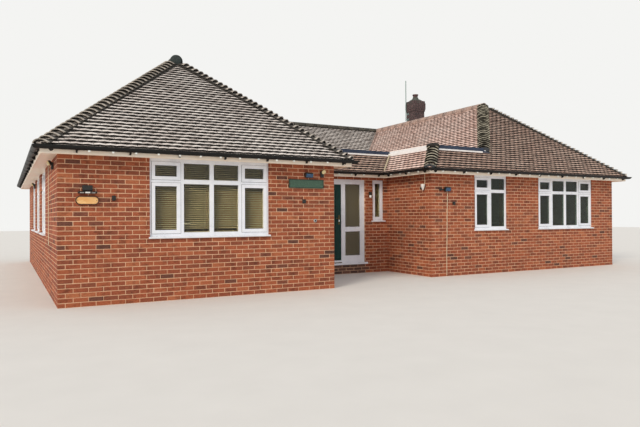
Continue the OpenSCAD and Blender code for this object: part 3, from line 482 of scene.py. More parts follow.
def cut_tiles(name, pieces, made, seed):
    """Tiles cut to their outlines, lying as the whole ones do"""
    laid, tones, heights = ([], []), [], []
    pick = random.Random(seed)
    for wall, tail, shown in pieces:
        flat = []
        for p in shown:
            if not flat or math.dist(p, flat[-1]) > same_spot:
                flat.append(p)
        if len(flat) > 1 and math.dist(flat[0], flat[-1]) <= same_spot:
            flat.pop()
        if len(flat) < 3:
            continue
        rings = ([], [])
        ups = [(run - tail) / gauge_run for _, run in flat]
        for ring, under in zip(rings, (0, tile_thick)):
            for (along, run), up in zip(flat, ups):
                lift = tail_lift * (1 - up) - under
                ring.append(on_wall(wall, along, run - lift * math.sin(pitch),
                                    slope_foot + rise * run + lift * math.cos(pitch)))
        gather(laid, shape_of(rings))
        tones += [pick.random()] * 2 * len(flat)
        heights += [up * gauge / tile_long for up in ups] * 2
    held = piece(name, *laid, made)
    note(held, "tone", tones)
    note(held, "rise", heights)
    return held


# The skirt ends under its kerb board, and the inner slopes start behind the flat roof's edge
back, foot, top, board_at, inner = 0.05, tile_edge, ridge_run, 0.287, 0.264


def between_hips(wall):
    """A wall and its slope's foot and head, along it and in from it, cut back from the hips"""
    return wall, [(foot + back, foot), (wall[3] - foot - back, foot), (wall[3] - top - back, top),
                  (top + back, top)]


left_slopes = [
    (front_wall, [(foot + back, foot), (5.24 - back, foot), (top, top - back)]),
    between_hips(left_wall),
    (recess_wall, [(foot + back, foot), (2.05, foot), (2.627, board_at), (2.604, inner),
                   (6.564, inner), (8.775, top), (top + back, top)]),
]
rear_slopes = [
    between_hips(rear_wall),
    ((4.95, 6.3, 0, 4.6), [(-inner, inner), (4.864, inner), (7.075, top), (-top, top)]),
]
front_slopes = [
    (right_front_wall, [(foot + back, foot), (6.89 - back, foot), (4.125, top - back),
                        (1.965 + back, 0.315), (1.965 + back, board_at),
                        (board_at + back, board_at)]),
    (entrance_wall, [(-foot, foot), (2.66, foot), (3.237, board_at), (-board_at, board_at)]),
]
right_slopes = [
    between_hips(right_wall),
    ((9.55, 6.3, -90, 5.7), [(-inner, inner), (5.385 - back, inner), (5.385 - back, 0.315),
                             (3.225 - back, top), (-top, top)]),
    (return_wall, [(-foot, foot), (2.03 - back, foot), (1.453 - back, board_at),
                   (-board_at, board_at)]),
]


def plain_tile(name, dark, middle, light, bloomed, shade_strength, unshaded_part):
    """Weathered plain clay tile: a tone for each tile, unshaded up to a part of its length and
    darkened above it by painted shadow from the tail above, painted shade on its own tail's face,
    pale lichen blooms of 10 to 40 mm, and a sanded face with grit under 2 mm"""
    made, tree, spot = finish(name)
    tone = add(tree, "Attribute", attribute_name="tone")
    up = add(tree, "Attribute", attribute_name="rise")
    normal = add(tree, "NewGeometry").outputs["True Normal"]
    facing = add(tree, "SeparateXYZ", {0: normal})
    patch = add(tree, "TexNoise", {"Vector": spot, "Scale": 0.9, "Detail": 4.0})
    bloom = add(tree, "TexNoise", {
        "Vector": spot, "Scale": 34.0, "Detail": 5.0, "Roughness": 0.7})
    grit = add(tree, "TexNoise", {"Vector": spot, "Scale": 350.0, "Detail": 2.0})
    shade = add(tree, "ValToRGB", {"Fac": tone.outputs["Fac"]},
                [(0.0, dark), (0.5, middle), (1.0, light)])
    drift = add(tree, "Math", [patch, 0.25, bloom], operation="MULTIPLY_ADD")
    grown = add(tree, "MapRange", [drift, 0.58, 0.78, 0.0, 0.85])
    lichen = add(tree, "Mix", {0: grown, 6: shade, 7: bloomed}, data_type="RGBA")
    # Painted shadow under the tail above: darker from part way up each tile
    under = add(tree, "MapRange", [up.outputs["Fac"], unshaded_part, unshaded_part + 0.1, 0.0, shade_strength])
    # Painted shade on faces that turn down from the light, such as each tail's face
    face = add(tree, "MapRange", [facing.outputs["Z"], 0.2, 0.5, shade_strength, 0.0])
    painted_shade = add(tree, "Math", [under, face], operation="MAXIMUM")
    # The painted shade mixes a near-black colour over the tile
    shaded_colour = add(tree, "Mix", {0: painted_shade, 6: lichen.outputs[2], 7: "#0E0B0A"}, data_type="RGBA")
    height = add(tree, "Math", [bloom, grit], operation="ADD")
    surface(tree, shaded_colour.outputs[2], 0.88, height, 0.6, 0.003)
    return made


brown_tile = plain_tile("weathered_brown_clay_tile",
                        "#A1948C", "#C9BDB5", "#E2D8D0", "#FBF5EE", 0.985, 0.45)
red_tile = plain_tile("weathered_red_clay_tile",
                      "#C79D8D", "#EAC0B0", "#FAD6C8", "#F8E8DF", 0.86, 0.62)
# A darker copy of the red tile, with more painted shade, stands for the shade on the slopes that
# face the front
front_shaded_tile = plain_tile("front_shaded_red_clay_tile",
                         "#8A6B5C", "#AA8776", "#BE9C8B", "#D8C4B4", 0.985, 0.44)
points, faces, heights = cambered_tile()
tile = piece("plain_tile", points, faces, brown_tile)
note(tile, "rise", heights)
for name, slopes, made, seed, nodes in (
        ("left_tiles", left_slopes, brown_tile, 11, ("left_roof",)),
        ("rear_tiles", rear_slopes, brown_tile, 13, ("rear_roof",)),
        ("right_tiles", right_slopes, red_tile, 17, ("right_roof", "skirt_roof")),
        ("right_front_tiles", front_slopes, front_shaded_tile, 19, ())):
    whole, cut = [], []
    for wall, outline in slopes:
        some, others = lay_slope(wall, outline)
        whole += some
        cut += others
    laid = set_out(name, whole, tile, made, 0.0025, 0.022, seed)
    fitted = cut_tiles(name + "_cut", cut, made, seed)
    for held in (laid, fitted):
        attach(held, "house")
    dress(made, *nodes)
put_away(tile)

# Hips
# Bonnet tiles cover every hip, one to each course, each bedded in mortar on the tiles and
# lapping the one below, so their open tails stand up like teeth over bedding whose black is
# partly painted shade. The lowest is stopped with a round lump of mortar.

bonnet_long, bonnet_thick, bonnet_round = 0.19, 0.017, 0.195
bonnet_sink, bonnet_rim, bonnet_foot = 0.137, 0.016, tile_edge + 0.035
bed_back, bed_half, bed_deep = 0.022, 0.13, 0.16
hip_lean = math.atan(rise / math.sqrt(2))
arris_step = math.sqrt(2 * gauge_run ** 2 + (rise * gauge_run) ** 2)
half_angle, sides = 0.86, 10


def arc(radius, y, grow, sink=bonnet_sink):
    """Points of a hip tile's section across its length"""
    turns = [half_angle * (2 * i / sides - 1) for i in range(sides + 1)]
    return [(radius * math.sin(a), y, radius * math.cos(a) - sink + grow) for a in turns]


def bonnet(lift):
    """A curved hip tile along y, its tail lifted by the one below"""
    edges = [(0.0, bonnet_thick), (0.0, 0.0), (bonnet_rim, 0.0), (bonnet_long, 0.0),
             (bonnet_long, bonnet_thick)]
    return shape_of(list(zip(*[
        arc(bonnet_round - inner, y, -lift / arris_step * y) for y, inner in edges])))


def bedding(lift):
    """The mortar that fills a bonnet to a little behind its tail"""
    return shape_of([arc(bonnet_round - bonnet_thick / 2, y, -lift / arris_step * y)
                     + [(bed_half, y, -bed_deep), (-bed_half, y, -bed_deep)]
                     for y in (bed_back, bonnet_long)])


def mortar_stop():
    """The rounded lump that closes the lowest bonnet"""
    points, steps, n = [], 5, sides + 1
    for k in range(steps + 1):
        a = math.pi / 2 * k / steps
        shrink = math.cos(a) * 0.985 + 0.015
        points += [(x * shrink, 0.02 - 0.05 * math.sin(a), z * shrink - bonnet_sink)
                   for x, _, z in arc(bonnet_round - 0.004, 0.0, 0.0, 0.0)]
    faces = [(k * n + i, (k + 1) * n + i, (k + 1) * n + i + 1, k * n + i + 1)
             for k in range(steps) for i in range(sides)]
    faces += [tuple(range(n)), tuple(range(steps * n, steps * n + n)),
              tuple(range(0, steps * n + 1, n)), tuple(range(sides, steps * n + n, n)),
              (0, sides, steps * n + sides, steps * n)]
    return points, faces


steep_places, low_places, stop_places = [], [], []
# Corner of the walls under each hip, its direction in plan and the runs that it covers
for x, y, way, low, high in (
        (0.0, 0.0, 45, bonnet_foot, 2.25), (4.95, 0.0, 135, bonnet_foot, 2.25),
        (0.0, 11.25, -45, bonnet_foot, 2.3), (14.5, 11.25, -135, bonnet_foot, 2.3),
        (14.5, 0.6, 135, bonnet_foot, 2.3), (7.9, 0.6, 45, bonnet_foot, 0.36),
        (9.55, 0.6, 45, 0.36, 2.42)):
    skirt, upper = x == 7.9, x == 9.55
    c, s = 1 if abs(way) < 90 else -1, 1 if way > 0 else -1
    turn = (hip_lean, 0, math.radians(way - 90))
    # The head is packed up on mortar, and the upper hip drifts aside towards it
    packed_up, drift = 0.06 if skirt else 0.035, 0.045 if upper else 0
    count = round((high - low) / gauge_run)
    for k in range(count + 1):
        run = low + k * gauge_run
        place = (site_x + x + c * run - drift * k / count, site_y + y + s * run,
                 slope_foot + rise * run + packed_up * k / count)
        size = (1.15, 1, 1.1) if upper else (1, 1, 1)
        (low_places if skirt or upper else steep_places).append((place, turn, size))
        if k == 0 and (skirt or upper):
            stop_places.append((place, turn, (1, 1, 1)))
        if k == 0 and upper:
            over_kerb = place[0] - 0.04, place[1] - 0.04, place[2] + 0.045
            stop_places.append((over_kerb, turn, (1, 1, 1)))


def hip_clay(name, stops, low, high, mossed_by):
    """Old curved clay: its rim and tail lichened pale, with painted shade further up and in its
    hollow, and moss in patches of about 200 mm"""
    made, tree, spot = finish(name)
    normal = add(tree, "NewGeometry").outputs["True Normal"]
    facing = add(tree, "SeparateXYZ", {0: normal})
    bloom = add(tree, "TexNoise", {
        "Vector": spot, "Scale": 26.0, "Detail": 5.0, "Roughness": 0.7})
    moss = add(tree, "TexNoise", {"Vector": spot, "Scale": 4.5, "Detail": 3.0})
    up = add(tree, "Attribute", attribute_name="rise").outputs["Fac"]
    shade = add(tree, "ValToRGB", {"Fac": bloom}, stops)
    greened = add(tree, "MapRange", [moss, 0.44, 0.6, 0.0, mossed_by])
    mossed = add(tree, "Mix", {0: greened, 6: shade, 7: "#34332C"}, data_type="RGBA")
    # Painted shade on faces that turn down, in the hollow beneath
    face = add(tree, "MapRange", [facing.outputs["Z"], low, high, 0.97, 0.0])
    # Painted shade further up, under the tile that laps it
    shade_under_lap = add(tree, "MapRange", [up, 0.15, 0.4, 0.0, 0.92])
    painted_shade = add(tree, "Math", [face, shade_under_lap], operation="MAXIMUM")
    # The painted shade mixes a near-black colour over the clay
    shaded_colour = add(tree, "Mix", {0: painted_shade, 6: mossed.outputs[2], 7: "#100D0B"}, data_type="RGBA")
    surface(tree, shaded_colour.outputs[2], 0.9, bloom, 0.6, 0.005)
    return made


bonnet_clay = hip_clay("lichened_bonnet_clay_with_painted_shade", [
    (0.3, "#857D75"), (0.46, "#B5ABA0"), (0.6, "#D8CFC3"), (0.75, "#ECE5D9")], -0.75, -0.62, 0.35)
green_clay = hip_clay("mossed_bonnet_clay", [
    (0.25, "#68645C"), (0.38, "#A8A293"), (0.5, "#DAD3BE"), (0.65, "#F0EAD6")], -0.75, -0.62, 0.88)
mossy = hip_clay("sooty_mossed_ridge_clay", [
    (0.3, "#2E2D29"), (0.5, "#45433C"), (0.62, "#605D53"), (0.75, "#88837A")], 0.0, 0.12, 0.4)

# Old bedding mortar: black with soot, sandy and open; set back in the bonnets' hollows, its black
# is also painted shade
bedding_mortar = mottled("sooty_and_shade_black_bedding_mortar", ("#171411", "#2E2924"), 0.03, 0.006, 0.93, 0.004)

# Newer pointing mortar: blue-grey cement, trowelled round and smooth
cement = mottled("trowelled_cement_mortar", ("#262A30", "#42474E"), 0.06, 0.008, 0.85, 0.003)

steep_lift, low_lift = 0.056, 0.05
steep_unit = piece("steep_bonnet", *bonnet(steep_lift), bonnet_clay)
low_unit = piece("low_bonnet", *bonnet(low_lift), green_clay)
for held in (steep_unit, low_unit):
    note(held, "rise", [p.co.y / arris_step for p in held.data.vertices])
steep_bed = piece("steep_bed", *bedding(steep_lift), bedding_mortar)
low_bed = piece("low_bed", *bedding(low_lift), bedding_mortar)
stop_unit = piece("mortar_stop", *mortar_stop(), cement, smooth=True)
for name, places, unit, made, wander, lean, seed, named in (
        ("tiles_steep", steep_places, steep_unit, bonnet_clay, 0.002, 0.02, 23, "mossy_tile"),
        ("tiles_low", low_places, low_unit, green_clay, 0.002, 0.02, 25, "mossy_tile"),
        ("bedding_steep", steep_places, steep_bed, bedding_mortar, 0, 0, 23, "mortar"),
        ("bedding_low", low_places, low_bed, bedding_mortar, 0, 0, 25, "mortar"),
        ("mortar_stops", stop_places, stop_unit, cement, 0, 0, 23, "mortar")):
    held = set_out("bonnet_" + name, places, unit, made, wander, lean, seed)
    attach(held, "house")
    if named == "mossy_tile":
        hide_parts("hip_tiles")
put_away(steep_unit, low_unit, steep_bed, low_bed, stop_unit)

# Ridges
# Half-round ridge tiles, 450 mm long, are bedded along each ridge, with mortar struck at the
# joints and a round disc of tile and mortar closing each front end.

ridge_long, ridge_round, ridge_thick, ridge_gap = 0.45, 0.125, 0.015, 0.012
ridge_sink, ridge_leg, front_end, struck_wide = 0.035, 0.07, 0.17, 0.03
ridge_z = slope_foot + rise * ridge_run - ridge_sink


def half_tube(long, outer, inner, drop):
    """Half a tube along y with straight sides below its middle"""
    turns = [math.pi * (1 - i / 12) for i in range(13)]
    return shape_of(list(zip(*[
        [(-r, y, -drop)] + [(r * math.cos(a), y, r * math.sin(a)) for a in turns] + [(r, y, -drop)]
        for y, r in ((0.0, outer), (0.0, inner), (long, inner), (long, outer))])))


def circle(radius, steps):
    """Points of a circle"""
    turns = [2 * math.pi * i / steps for i in range(steps)]
    return [(radius * math.cos(a), radius * math.sin(a)) for a in turns]


def disc_end(radius, thick, steps):
    """A round end of a ridge, a little domed, facing back along y"""
    points, faces = shape_of([
        [(x, y, z) for x, z in circle(r, steps)]
        for r, y in ((radius * 0.8, -thick * 0.8), (radius, 0.0), (radius, 0.06))])
    dome = [(i, (i + 1) % steps, len(points)) for i in range(steps)]
    return points + [(0.0, -thick, 0.0)], faces[:-2] + dome + faces[-1:]


ridge_places, joint_places, end_places = {"dark": [], "pale": []}, [], []
for look, x, y, way, long in (
        ("dark", ridge_run, ridge_run - front_end, 90, 6.3 + front_end),
        ("dark", ridge_run, 8.775, 0, 9.55), ("pale", 12.025, 3.055, 90, 5.72)):
    number = round(long / ridge_long)
    step = long / number
    c, s = math.cos(math.radians(way)), math.sin(math.radians(way))
    turn = (0, 0, math.radians(way - 90))
    for k in range(number):
        place = (site_x + x + c * step * k, site_y + y + s * step * k, ridge_z)
        ridge_places[look].append((place, turn, (1, (step - ridge_gap) / ridge_long, 1)))
        joint_places.append((place, turn, (1, 1, 1)))
    if way == 90 and look == "dark":
        end = (site_x + x - 0.02, site_y + y - 0.01, ridge_z + 0.006)
        end_places.append((end, turn, (1, 1, 1)))
ridge_unit = piece("ridge_unit", *half_tube(
    ridge_long, ridge_round, ridge_round - ridge_thick, ridge_leg), mossy, smooth=True)
joint_unit = piece("joint_unit", *half_tube(
    struck_wide, ridge_round - 0.003, ridge_round - 0.02, ridge_leg - 0.005), bedding_mortar)
# Mortar closing the ridge, stained dark green-grey by algae
end_mortar = mottled("algae_stained_mortar", ("#1F2627", "#3B4543"), 0.05, 0.008, 0.9, 0.004)
end_unit = piece("end_unit", *disc_end(0.115, 0.02, 20), end_mortar, smooth=True)
saddle = piece("apex_saddle", *worn_block(0.3, 0.26, 0.17, 0.035), bedding_mortar)
saddle.data.transform(Matrix.Translation((site_x + ridge_run, site_y + 2.4, 4.555)))
kerb_saddle = piece("kerb_corner_saddle", *worn_block(0.27, 0.27, 0.14, 0.05), bedding_mortar)
kerb_saddle.data.transform(Matrix.Translation(on_wall(right_front_wall, 0.37, 0.37, 3.085)))

# Red clay ridge tile: dusty pink-brown with pale lichen spots of 10 to 30 mm
pink_ridge = mottled("weathered_red_clay_ridge", ("#6E5A52", "#A58A7E", "#D0BBAF"),
                     0.03, 0.01, 0.9, 0.004)

dark = set_out("ridge_tiles_left_and_rear", ridge_places["dark"], ridge_unit, mossy,
               0.001, 0.004, 29)
pale = set_out("ridge_tiles_right", ridge_places["pale"], ridge_unit, pink_ridge,
               0.001, 0.004, 31)
joints = set_out("ridge_joints", joint_places, joint_unit, bedding_mortar, seed=29)
ends = set_out("ridge_ends", end_places, end_unit, end_mortar, seed=29)
put_away(ridge_unit, joint_unit, end_unit)
for held, named in ((dark, "mossy_tile"), (pale, "red_tile"), (joints, "mortar"),
                    (ends, "mortar"), (saddle, "mortar"), (kerb_saddle, "mortar")):
    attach(held, "house")
    if named != "mortar":
        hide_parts("ridge_tiles")

# Eaves
# Painted softwood soffit and fascia boards close the rafter feet, and half-round black plastic
# gutters hang from brackets screwed to the fascia about every 800 mm.

# Gloss paint on softwood: warm cream with brush marks about 4 mm apart and faint dirt
cream_paint = mottled("brushed_cream_gloss_paint", ("#FFE8D0", "#FFF1DF"),
                      0.35, 0.004, 0.42, 0.0006)
# Rigid black vinyl: smooth, dulled by weather, with dust in patches of about 60 mm
black_vinyl = mottled("weathered_black_vinyl", ("#080808", "#141413"), 0.06, 0.004, 0.52, 0.0004,
                      **{"Specular IOR Level": 0.3})
dress(cream_paint, "soffits", "fascias")
dress(black_vinyl, "gutters", "downpipes")

gutter_in, gutter_up, gutter_round = -0.311, 2.492, 0.056
bracket_wide, bracket_apart = 0.024, 0.8


def slab_of(outline, low, high):
    """A flat shape in y and z, standing between two places along x"""
    return shape_of([[(x, y, z) for y, z in outline] for x in (low, high)])


strap = [(0.0555, 0.0), (0.0555, -0.094), (0.03, -0.094), (0.004, -0.072)]
for r, turns in ((gutter_round + 0.004, range(262, 206, -11)),
                 (gutter_round - 0.001, range(208, 350, 11))):
    strap += [(r * math.cos(math.radians(a)), r * math.sin(math.radians(a))) for a in turns]
bracket = piece("bracket", *slab_of(strap, -bracket_wide / 2, bracket_wide / 2), black_vinyl)
bracket_places = []
eaves_runs = [(front_wall, 0.25, 5.0), (recess_wall, -0.1, 1.9), (entrance_wall, 0.45, 2.5),
              (return_wall, 0.45, 1.85), (right_front_wall, -0.1, 6.7), (right_wall, -0.1, 10.75),
              (rear_wall, -0.1, 14.6), (left_wall, -0.1, 10.9)]
for wall, low, high in eaves_runs:
    count = max(1, round((high - low) / bracket_apart))
    bracket_places += [set_at(wall, low + (high - low) * k / count, gutter_in, gutter_up)
                       for k in range(count + 1)]
brackets = set_out("gutter_brackets", bracket_places, bracket, black_vinyl, seed=37)
put_away(bracket)
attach(brackets, "house")

# Gutter clips
# Small clips of clear plastic, gone pale, are pushed on under the front gutters about every
# 350 mm.

# Clear plastic gone milky: pale, a little glossy
milky_plastic = mottled("milky_clip_plastic", ("#E9EAE4", "#FAFAF6"), 0.02, 0.003, 0.35, 0.0003,
                        IOR=1.49)
clip = piece("clip", *worn_block(0.036, 0.024, 0.03, 0.006), milky_plastic)
clip_apart, clip_out, clip_down = 0.35, 0.012, 0.066
clip_places = [set_at(wall, low + (k + 0.5) * clip_apart, gutter_in - clip_out,
                      gutter_up - clip_down)
               for wall, low, high in eaves_runs[:5]
               for k in range(math.floor((high - low) / clip_apart))]
clips = set_out("gutter_clips", clip_places, clip, milky_plastic, wander=0.003, seed=41)
put_away(clip)
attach(clips, "house")

# Flat roof and its capping
# The flat roof over the hall is felted in three lapped widths, turned up over a kerb behind the
# skirt. A painted white board covers the tiles' heads, taller over the return.

# Bitumen felt: dark slate blue, matt, with mineral grains of 1 to 2 mm and rain marks
felt = mottled("mineral_bitumen_felt", ("#262F42", "#3B475C"), 0.15, 0.0025, 0.85, 0.0012)
# Exterior gloss over a sawn board: white, a little chalky
white_paint = mottled("chalky_white_paint", ("#ECEDEE", "#FAFAFA"), 0.12, 0.004, 0.5, 0.0005)
dress(felt, "flat_roof")
dress(white_paint, "roof_edge_trim")
deck_z, kerb_top = 2.96, 3.12
lap_edge = [(-0.05, 0.0), (0.05, 0.0), (0.046, 0.0045), (-0.046, 0.0045)]
lap = piece("lap", *slab_of(lap_edge, -0.5, 0.5), felt)
lap_places = [((site_x + (low + high) / 2, site_y + y, deck_z), (0, 0, 0), (high - low, 1, 1))
              for low, high, ys in ((5.222, 9.278, (3.2, 4.15, 5.1)), (8.31, 9.278, (1.35, 2.3)))
              for y in ys]
laps = set_out("felt_laps", lap_places, lap, felt, seed=43)
put_away(lap)
board = [(0.297, 3.03), (0.314, 3.03), (0.314, kerb_top - 0.002), (0.297, kerb_top - 0.002)]
capping = piece("return_capping_board", *shape_of([
    [on_wall(return_wall, run - inward, inward, up) for inward, up in board]
    for run in (0.0, 1.74)]), white_paint)
# The board runs on past the foot of the upper hip and tapers out over the tiles
taper = [(1.9, 0.279, 2.985), (1.9, 0.279, 3.058), (2.13, 0.262, 3.0), (2.13, 0.262, 2.985)]
capping_tail = piece("capping_board_tail", *shape_of([
    [on_wall(right_front_wall, along, inward + deep, up) for along, inward, up in taper]
    for deep in (0, 0.021)]), felt)


def mould_along(store, wall, outline, low, high, up=0.0):
    """Adds a moulding along a wall, its section given in from the wall and up"""
    gather(store, shape_of([
        [on_wall(wall, along, inward, up + z) for inward, z in outline] for along in (low, high)]))


# On the front the felt is turned down over the board's upper half
turned_down = [(0.283, 3.03), (0.2865, 3.03), (0.2865, 3.0605), (0.33, 3.0605), (0.33, 3.064),
               (0.283, 3.064)]
drip = ([], [])
mould_along(drip, right_front_wall, turned_down, 0.34, 1.93)
mould_along(drip, entrance_wall, turned_down, -0.1, 3.2)
drip = piece("felt_drip", *drip, felt)
# Cement struck along the valley where the skirt turns the corner
struck = [(-0.014, 0.045), (0.0, 0.0), (0.014, 0.045), (0.0, 0.045)]
valley = piece("valley_mortar", *shape_of([
    [on_wall(entrance_wall, 2.95 + run + across, run - across,
             slope_foot + rise * (run + abs(across)) + lift) for across, lift in struck]
    for run in (-0.26, 0.28)]), mottled(
        "pale_valley_mortar", ("#A3947C", "#CDBFA4"), 0.04, 0.003, 0.9, 0.002))
for held, named in ((laps, "lead"), (capping, "cream_board"), (capping_tail, "lead"),
                    (drip, "lead"), (valley, "mortar")):
    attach(held, "house")

# Chimney
# The stack is two bricks square, laid with one brick turning each corner, and oversails in its
# top five courses. It is capped with rounded mortar that holds one clay pot, and soot and damp
# have blackened all of it. Lead is dressed from its foot over the tiles.

stack_x, stack_y, stack_half, stack_foot, stack_top = 12.36, 6.8, 0.2225, 4.2, 5.5742
stack_steps, end_brick = (0.018, 0.034, 0.034, 0.034, 0.02), 0.1025

# Common brick under soot: brown-black with a little red where the face has blown
stack_brick = mottled("sooty_common_brick", ("#241F21", "#3F3536", "#5C4645", "#80696A"),
                      0.04, 0.004, 0.92, 0.004)
# Mortar under the same soot
stack_mortar = mottled("sooty_stack_mortar", ("#3A3535", "#5E5858"), 0.05, 0.003, 0.95, 0.002)
dress(stack_mortar, "chimney_stack")
# Damp flaunching mortar: grey-green with algae, in patches of about 70 mm
cap_mortar = mottled("damp_stained_flaunching", ("#302E2E", "#454A42", "#615F5A"),
                     0.07, 0.005, 0.92, 0.004)
# Unglazed chimney pot: red clay under soot, rough as fired
dress(mottled("sooty_red_clay_pot", ("#3A2F30", "#573F40", "#6E4E4C"), 0.05, 0.004, 0.85, 0.002),
      "chimney_pot")
# Galvanised tube: dull grey-green zinc with spangle about 12 mm across
dress(mottled("dull_galvanised_tube", ("#6E827D", "#93A5A0"), 0.012, 0.003, 0.48, 0.0003,
              Metallic=0.7), "aerial_mast")
block = piece("stack_block", *worn_block(1, 1, brick_high, 0.006), stack_brick)
stack_places = []
for course in range(1 + int((stack_top - stack_foot) / course_high)):
    up = stack_top - (course + 0.5) * course_high
    out = stack_half + (stack_steps[course] if course < len(stack_steps) else 0)
    handed = 1 if course % 2 else -1
    middle_long = 2 * out - brick_long - end_brick - 2 * joint
    for side in range(4):
        a = math.radians(90 * side)
        c, s = math.cos(a), math.sin(a)
        for x, y, long, deep in (
                (-out + (brick_long - proud) / 2, -out - proud + end_brick / 2,
                 brick_long + proud, end_brick),
                (-out + brick_long + joint + middle_long / 2, -out - proud + bed,
                 middle_long, 2 * bed)):
            x *= handed
            place = (site_x + stack_x + c * x - s * y, site_y + stack_y + s * x + c * y, up)
            stack_places.append((place, (0, 0, a), (long, deep, 1)))
stack_bricks = set_out("stack_bricks", stack_places, block, stack_brick, 0.0015, 0.01, 47)
put_away(block)

# Milled lead: blue-grey, dull, with a pale bloom
lead = mottled("weathered_milled_lead", ("#6A7076", "#90969B"), 0.08, 0.01, 0.6, 0.001,
               Metallic=0.35)
rings = []
for reach, up in ((0.004, 0.13), (0.004, 0.02), (0.13, 0.026), (0.13, 0.022), (0.0, 0.016),
                  (0.0, 0.13)):
    half = stack_half + proud + reach
    rings.append([(site_x + stack_x + a * half, site_y + stack_y + b * half,
                   slope_foot + rise * (rear_wall[3] - stack_x - a * half) + up)
                  for a, b in ((-1, -1), (1, -1), (1, 1), (-1, 1))])
flashing = piece("lead_flashing", *shape_of(rings, closed=True), lead)
# The mortar cap, rounded down over the top course: half width, flat part of it, and height
cap_rings = [(0.088, 0.0, 0.165), (0.1, 0.01, 0.12), (0.122, 0.02, 0.085), (0.165, 0.06, 0.058),
             (0.205, 0.11, 0.022), (0.237, 0.16, -0.022), (0.253, 0.2, -0.075),
             (0.255, 0.21, -0.1), (0.24, 0.2, -0.106), (0.1, 0.05, -0.1)]
cap = piece("mortar_cap", *shape_of([
    [tuple(at + (half - flat) * c + flat * max(-1, min(1, 1.6 * c))
           for at, c in zip((site_x + stack_x, site_y + stack_y), p)) + (stack_top + up,)
     for p in circle(1, 24)] for half, flat, up in cap_rings]), cap_mortar, smooth=True)
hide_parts("chimney_flaunching")
for held, named in ((stack_bricks, "chimney_brick"), (flashing, "lead"), (cap, "mortar")):
    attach(held, "house")

# Windows
# White plastic frames are fixed in the openings, each light with a fanlight over it. Mitred beads
# and black rubber gaskets hold sealed double glazing, and the end lights carry stepped sashes.

# Extruded white vinyl: smooth satin, with road dust in faint patches, and tinted faintly blue as
# painted sky shade
white_vinyl = mottled("extruded_white_vinyl", ("#E3E7EF", "#F1F4FB"), 0.3, 0.01, 0.32, 0.0003,
                      IOR=1.53)
# Extruded rubber: black and dull
gasket_rubber = mottled("black_gasket_rubber", ("#121212", "#1E1E1E"), 0.02, 0.003, 0.7, 0.0003)
dress(white_vinyl, "front_window_frames", "side_window_frames", "rear_window_frames",
      "door_frame", "door_sill")


def glazing(name, tint, clearness, roughness, shaded=None):
    """Sealed float glass: tinted, with the faint waver of two panes some 300 mm long and a film of
    dust; the coating takes most of the glare off it, and the right range's panes may be darker and
    greener, as painted shade"""
    made, tree, spot = finish(name)
    waver = add(tree, "TexNoise", {"Vector": spot, "Scale": 3.0, "Detail": 1.0})
    film = add(tree, "TexNoise", {"Vector": spot, "Scale": 7.0, "Detail": 4.0})
    wave = add(tree, "Bump", {"Height": waver, "Strength": 0.04, "Distance": 0.02})
    dull = add(tree, "MapRange", [film, 0.3, 0.7, roughness, roughness + 0.03])
    # Panes of the right range are tinted darker and greener, as painted shade
    along = add(tree, "SeparateXYZ", {"Vector": spot}).outputs["X"]
    range_side = add(tree, "MapRange", [along, 0.5, 0.7])
    tone = add(tree, "ValToRGB", {"Fac": range_side}, [(0.0, tint), (1.0, shaded or tint)])
    skin = add(tree, "BsdfPrincipled", {
        "Base Color": tone, "Roughness": dull, "IOR": 1.3, "Transmission Weight": clearness,
        "Normal": wave})
    clear = add(tree, "BsdfTransparent", {"Color": tone})
    shadow = add(tree, "LightPath").outputs["Is Shadow Ray"]
    both = add(tree, "MixShader", {0: shadow, 1: skin, 2: clear})
    add(tree, "OutputMaterial", {"Surface": both})
    return made


dress(glazing("tinted_float_glass", "#E6E2CE", 1.0, 0.0, "#98A69B"), "window_glass")
light_foot, transom_foot, fan_foot, fan_top = 1.144, 1.982, 2.054, 2.335
sash_inset, sash_lap, face_in, glass_in, narrow_in = 0.045, 0.012, 0.034, 0.053, 0.085


def mitred_frame(store, wall, x0, x1, z0, z1, profile):
    """Adds a moulding round an opening, its section given as steps into the opening and depths"""
    gather(store, shape_of([
        [on_wall(wall, cx + sx * inset, depth, cz + sz * inset) for inset, depth in profile]
        for cx, cz, sx, sz in ((x0, z0, 1, 1), (x1, z0, -1, 1), (x1, z1, -1, -1), (x0, z1, 1, -1))
    ], closed=True))


def bead_at(face, glass):
    """Section of a glazing bead from the frame's face down to the glass"""
    return [(0.0, face), (0.001, face - 0.001), (0.004, face + 0.006), (0.005, glass),
            (0.0, glass)]


def gasket_at(glass):
    """Section of the gasket between a bead and its glass"""
    return [(0.004, glass - 0.004), (0.007, glass - 0.0025), (0.008, glass + 0.0005),
            (0.004, glass + 0.0005)]


beads, gaskets_and_sash_shade, sills = ([], []), ([], []), ([], [])
openings, sashes = [], []
for wall, left, count in windows:
    for k in range(count):
        x0 = left + side_edge + k * (light_wide + bar_wide)
        sashed = k == 0 or (k == count - 1 and count > 2)
        inset = sash_inset if sashed else 0.0
        for low, high in ((light_foot, transom_foot), (fan_foot, fan_top)):
            openings.append((wall, x0 + inset, x0 + light_wide - inset, low + inset, high - inset))
            if sashed:
                sashes.append((wall, x0 - sash_lap, x0 + light_wide + sash_lap,
                               low - sash_lap, high + sash_lap))
openings.append((entrance_wall, narrow_x + narrow_in, narrow_x + narrow_width - narrow_in,
                 narrow_foot + 0.038 + narrow_in, door_top - narrow_in))
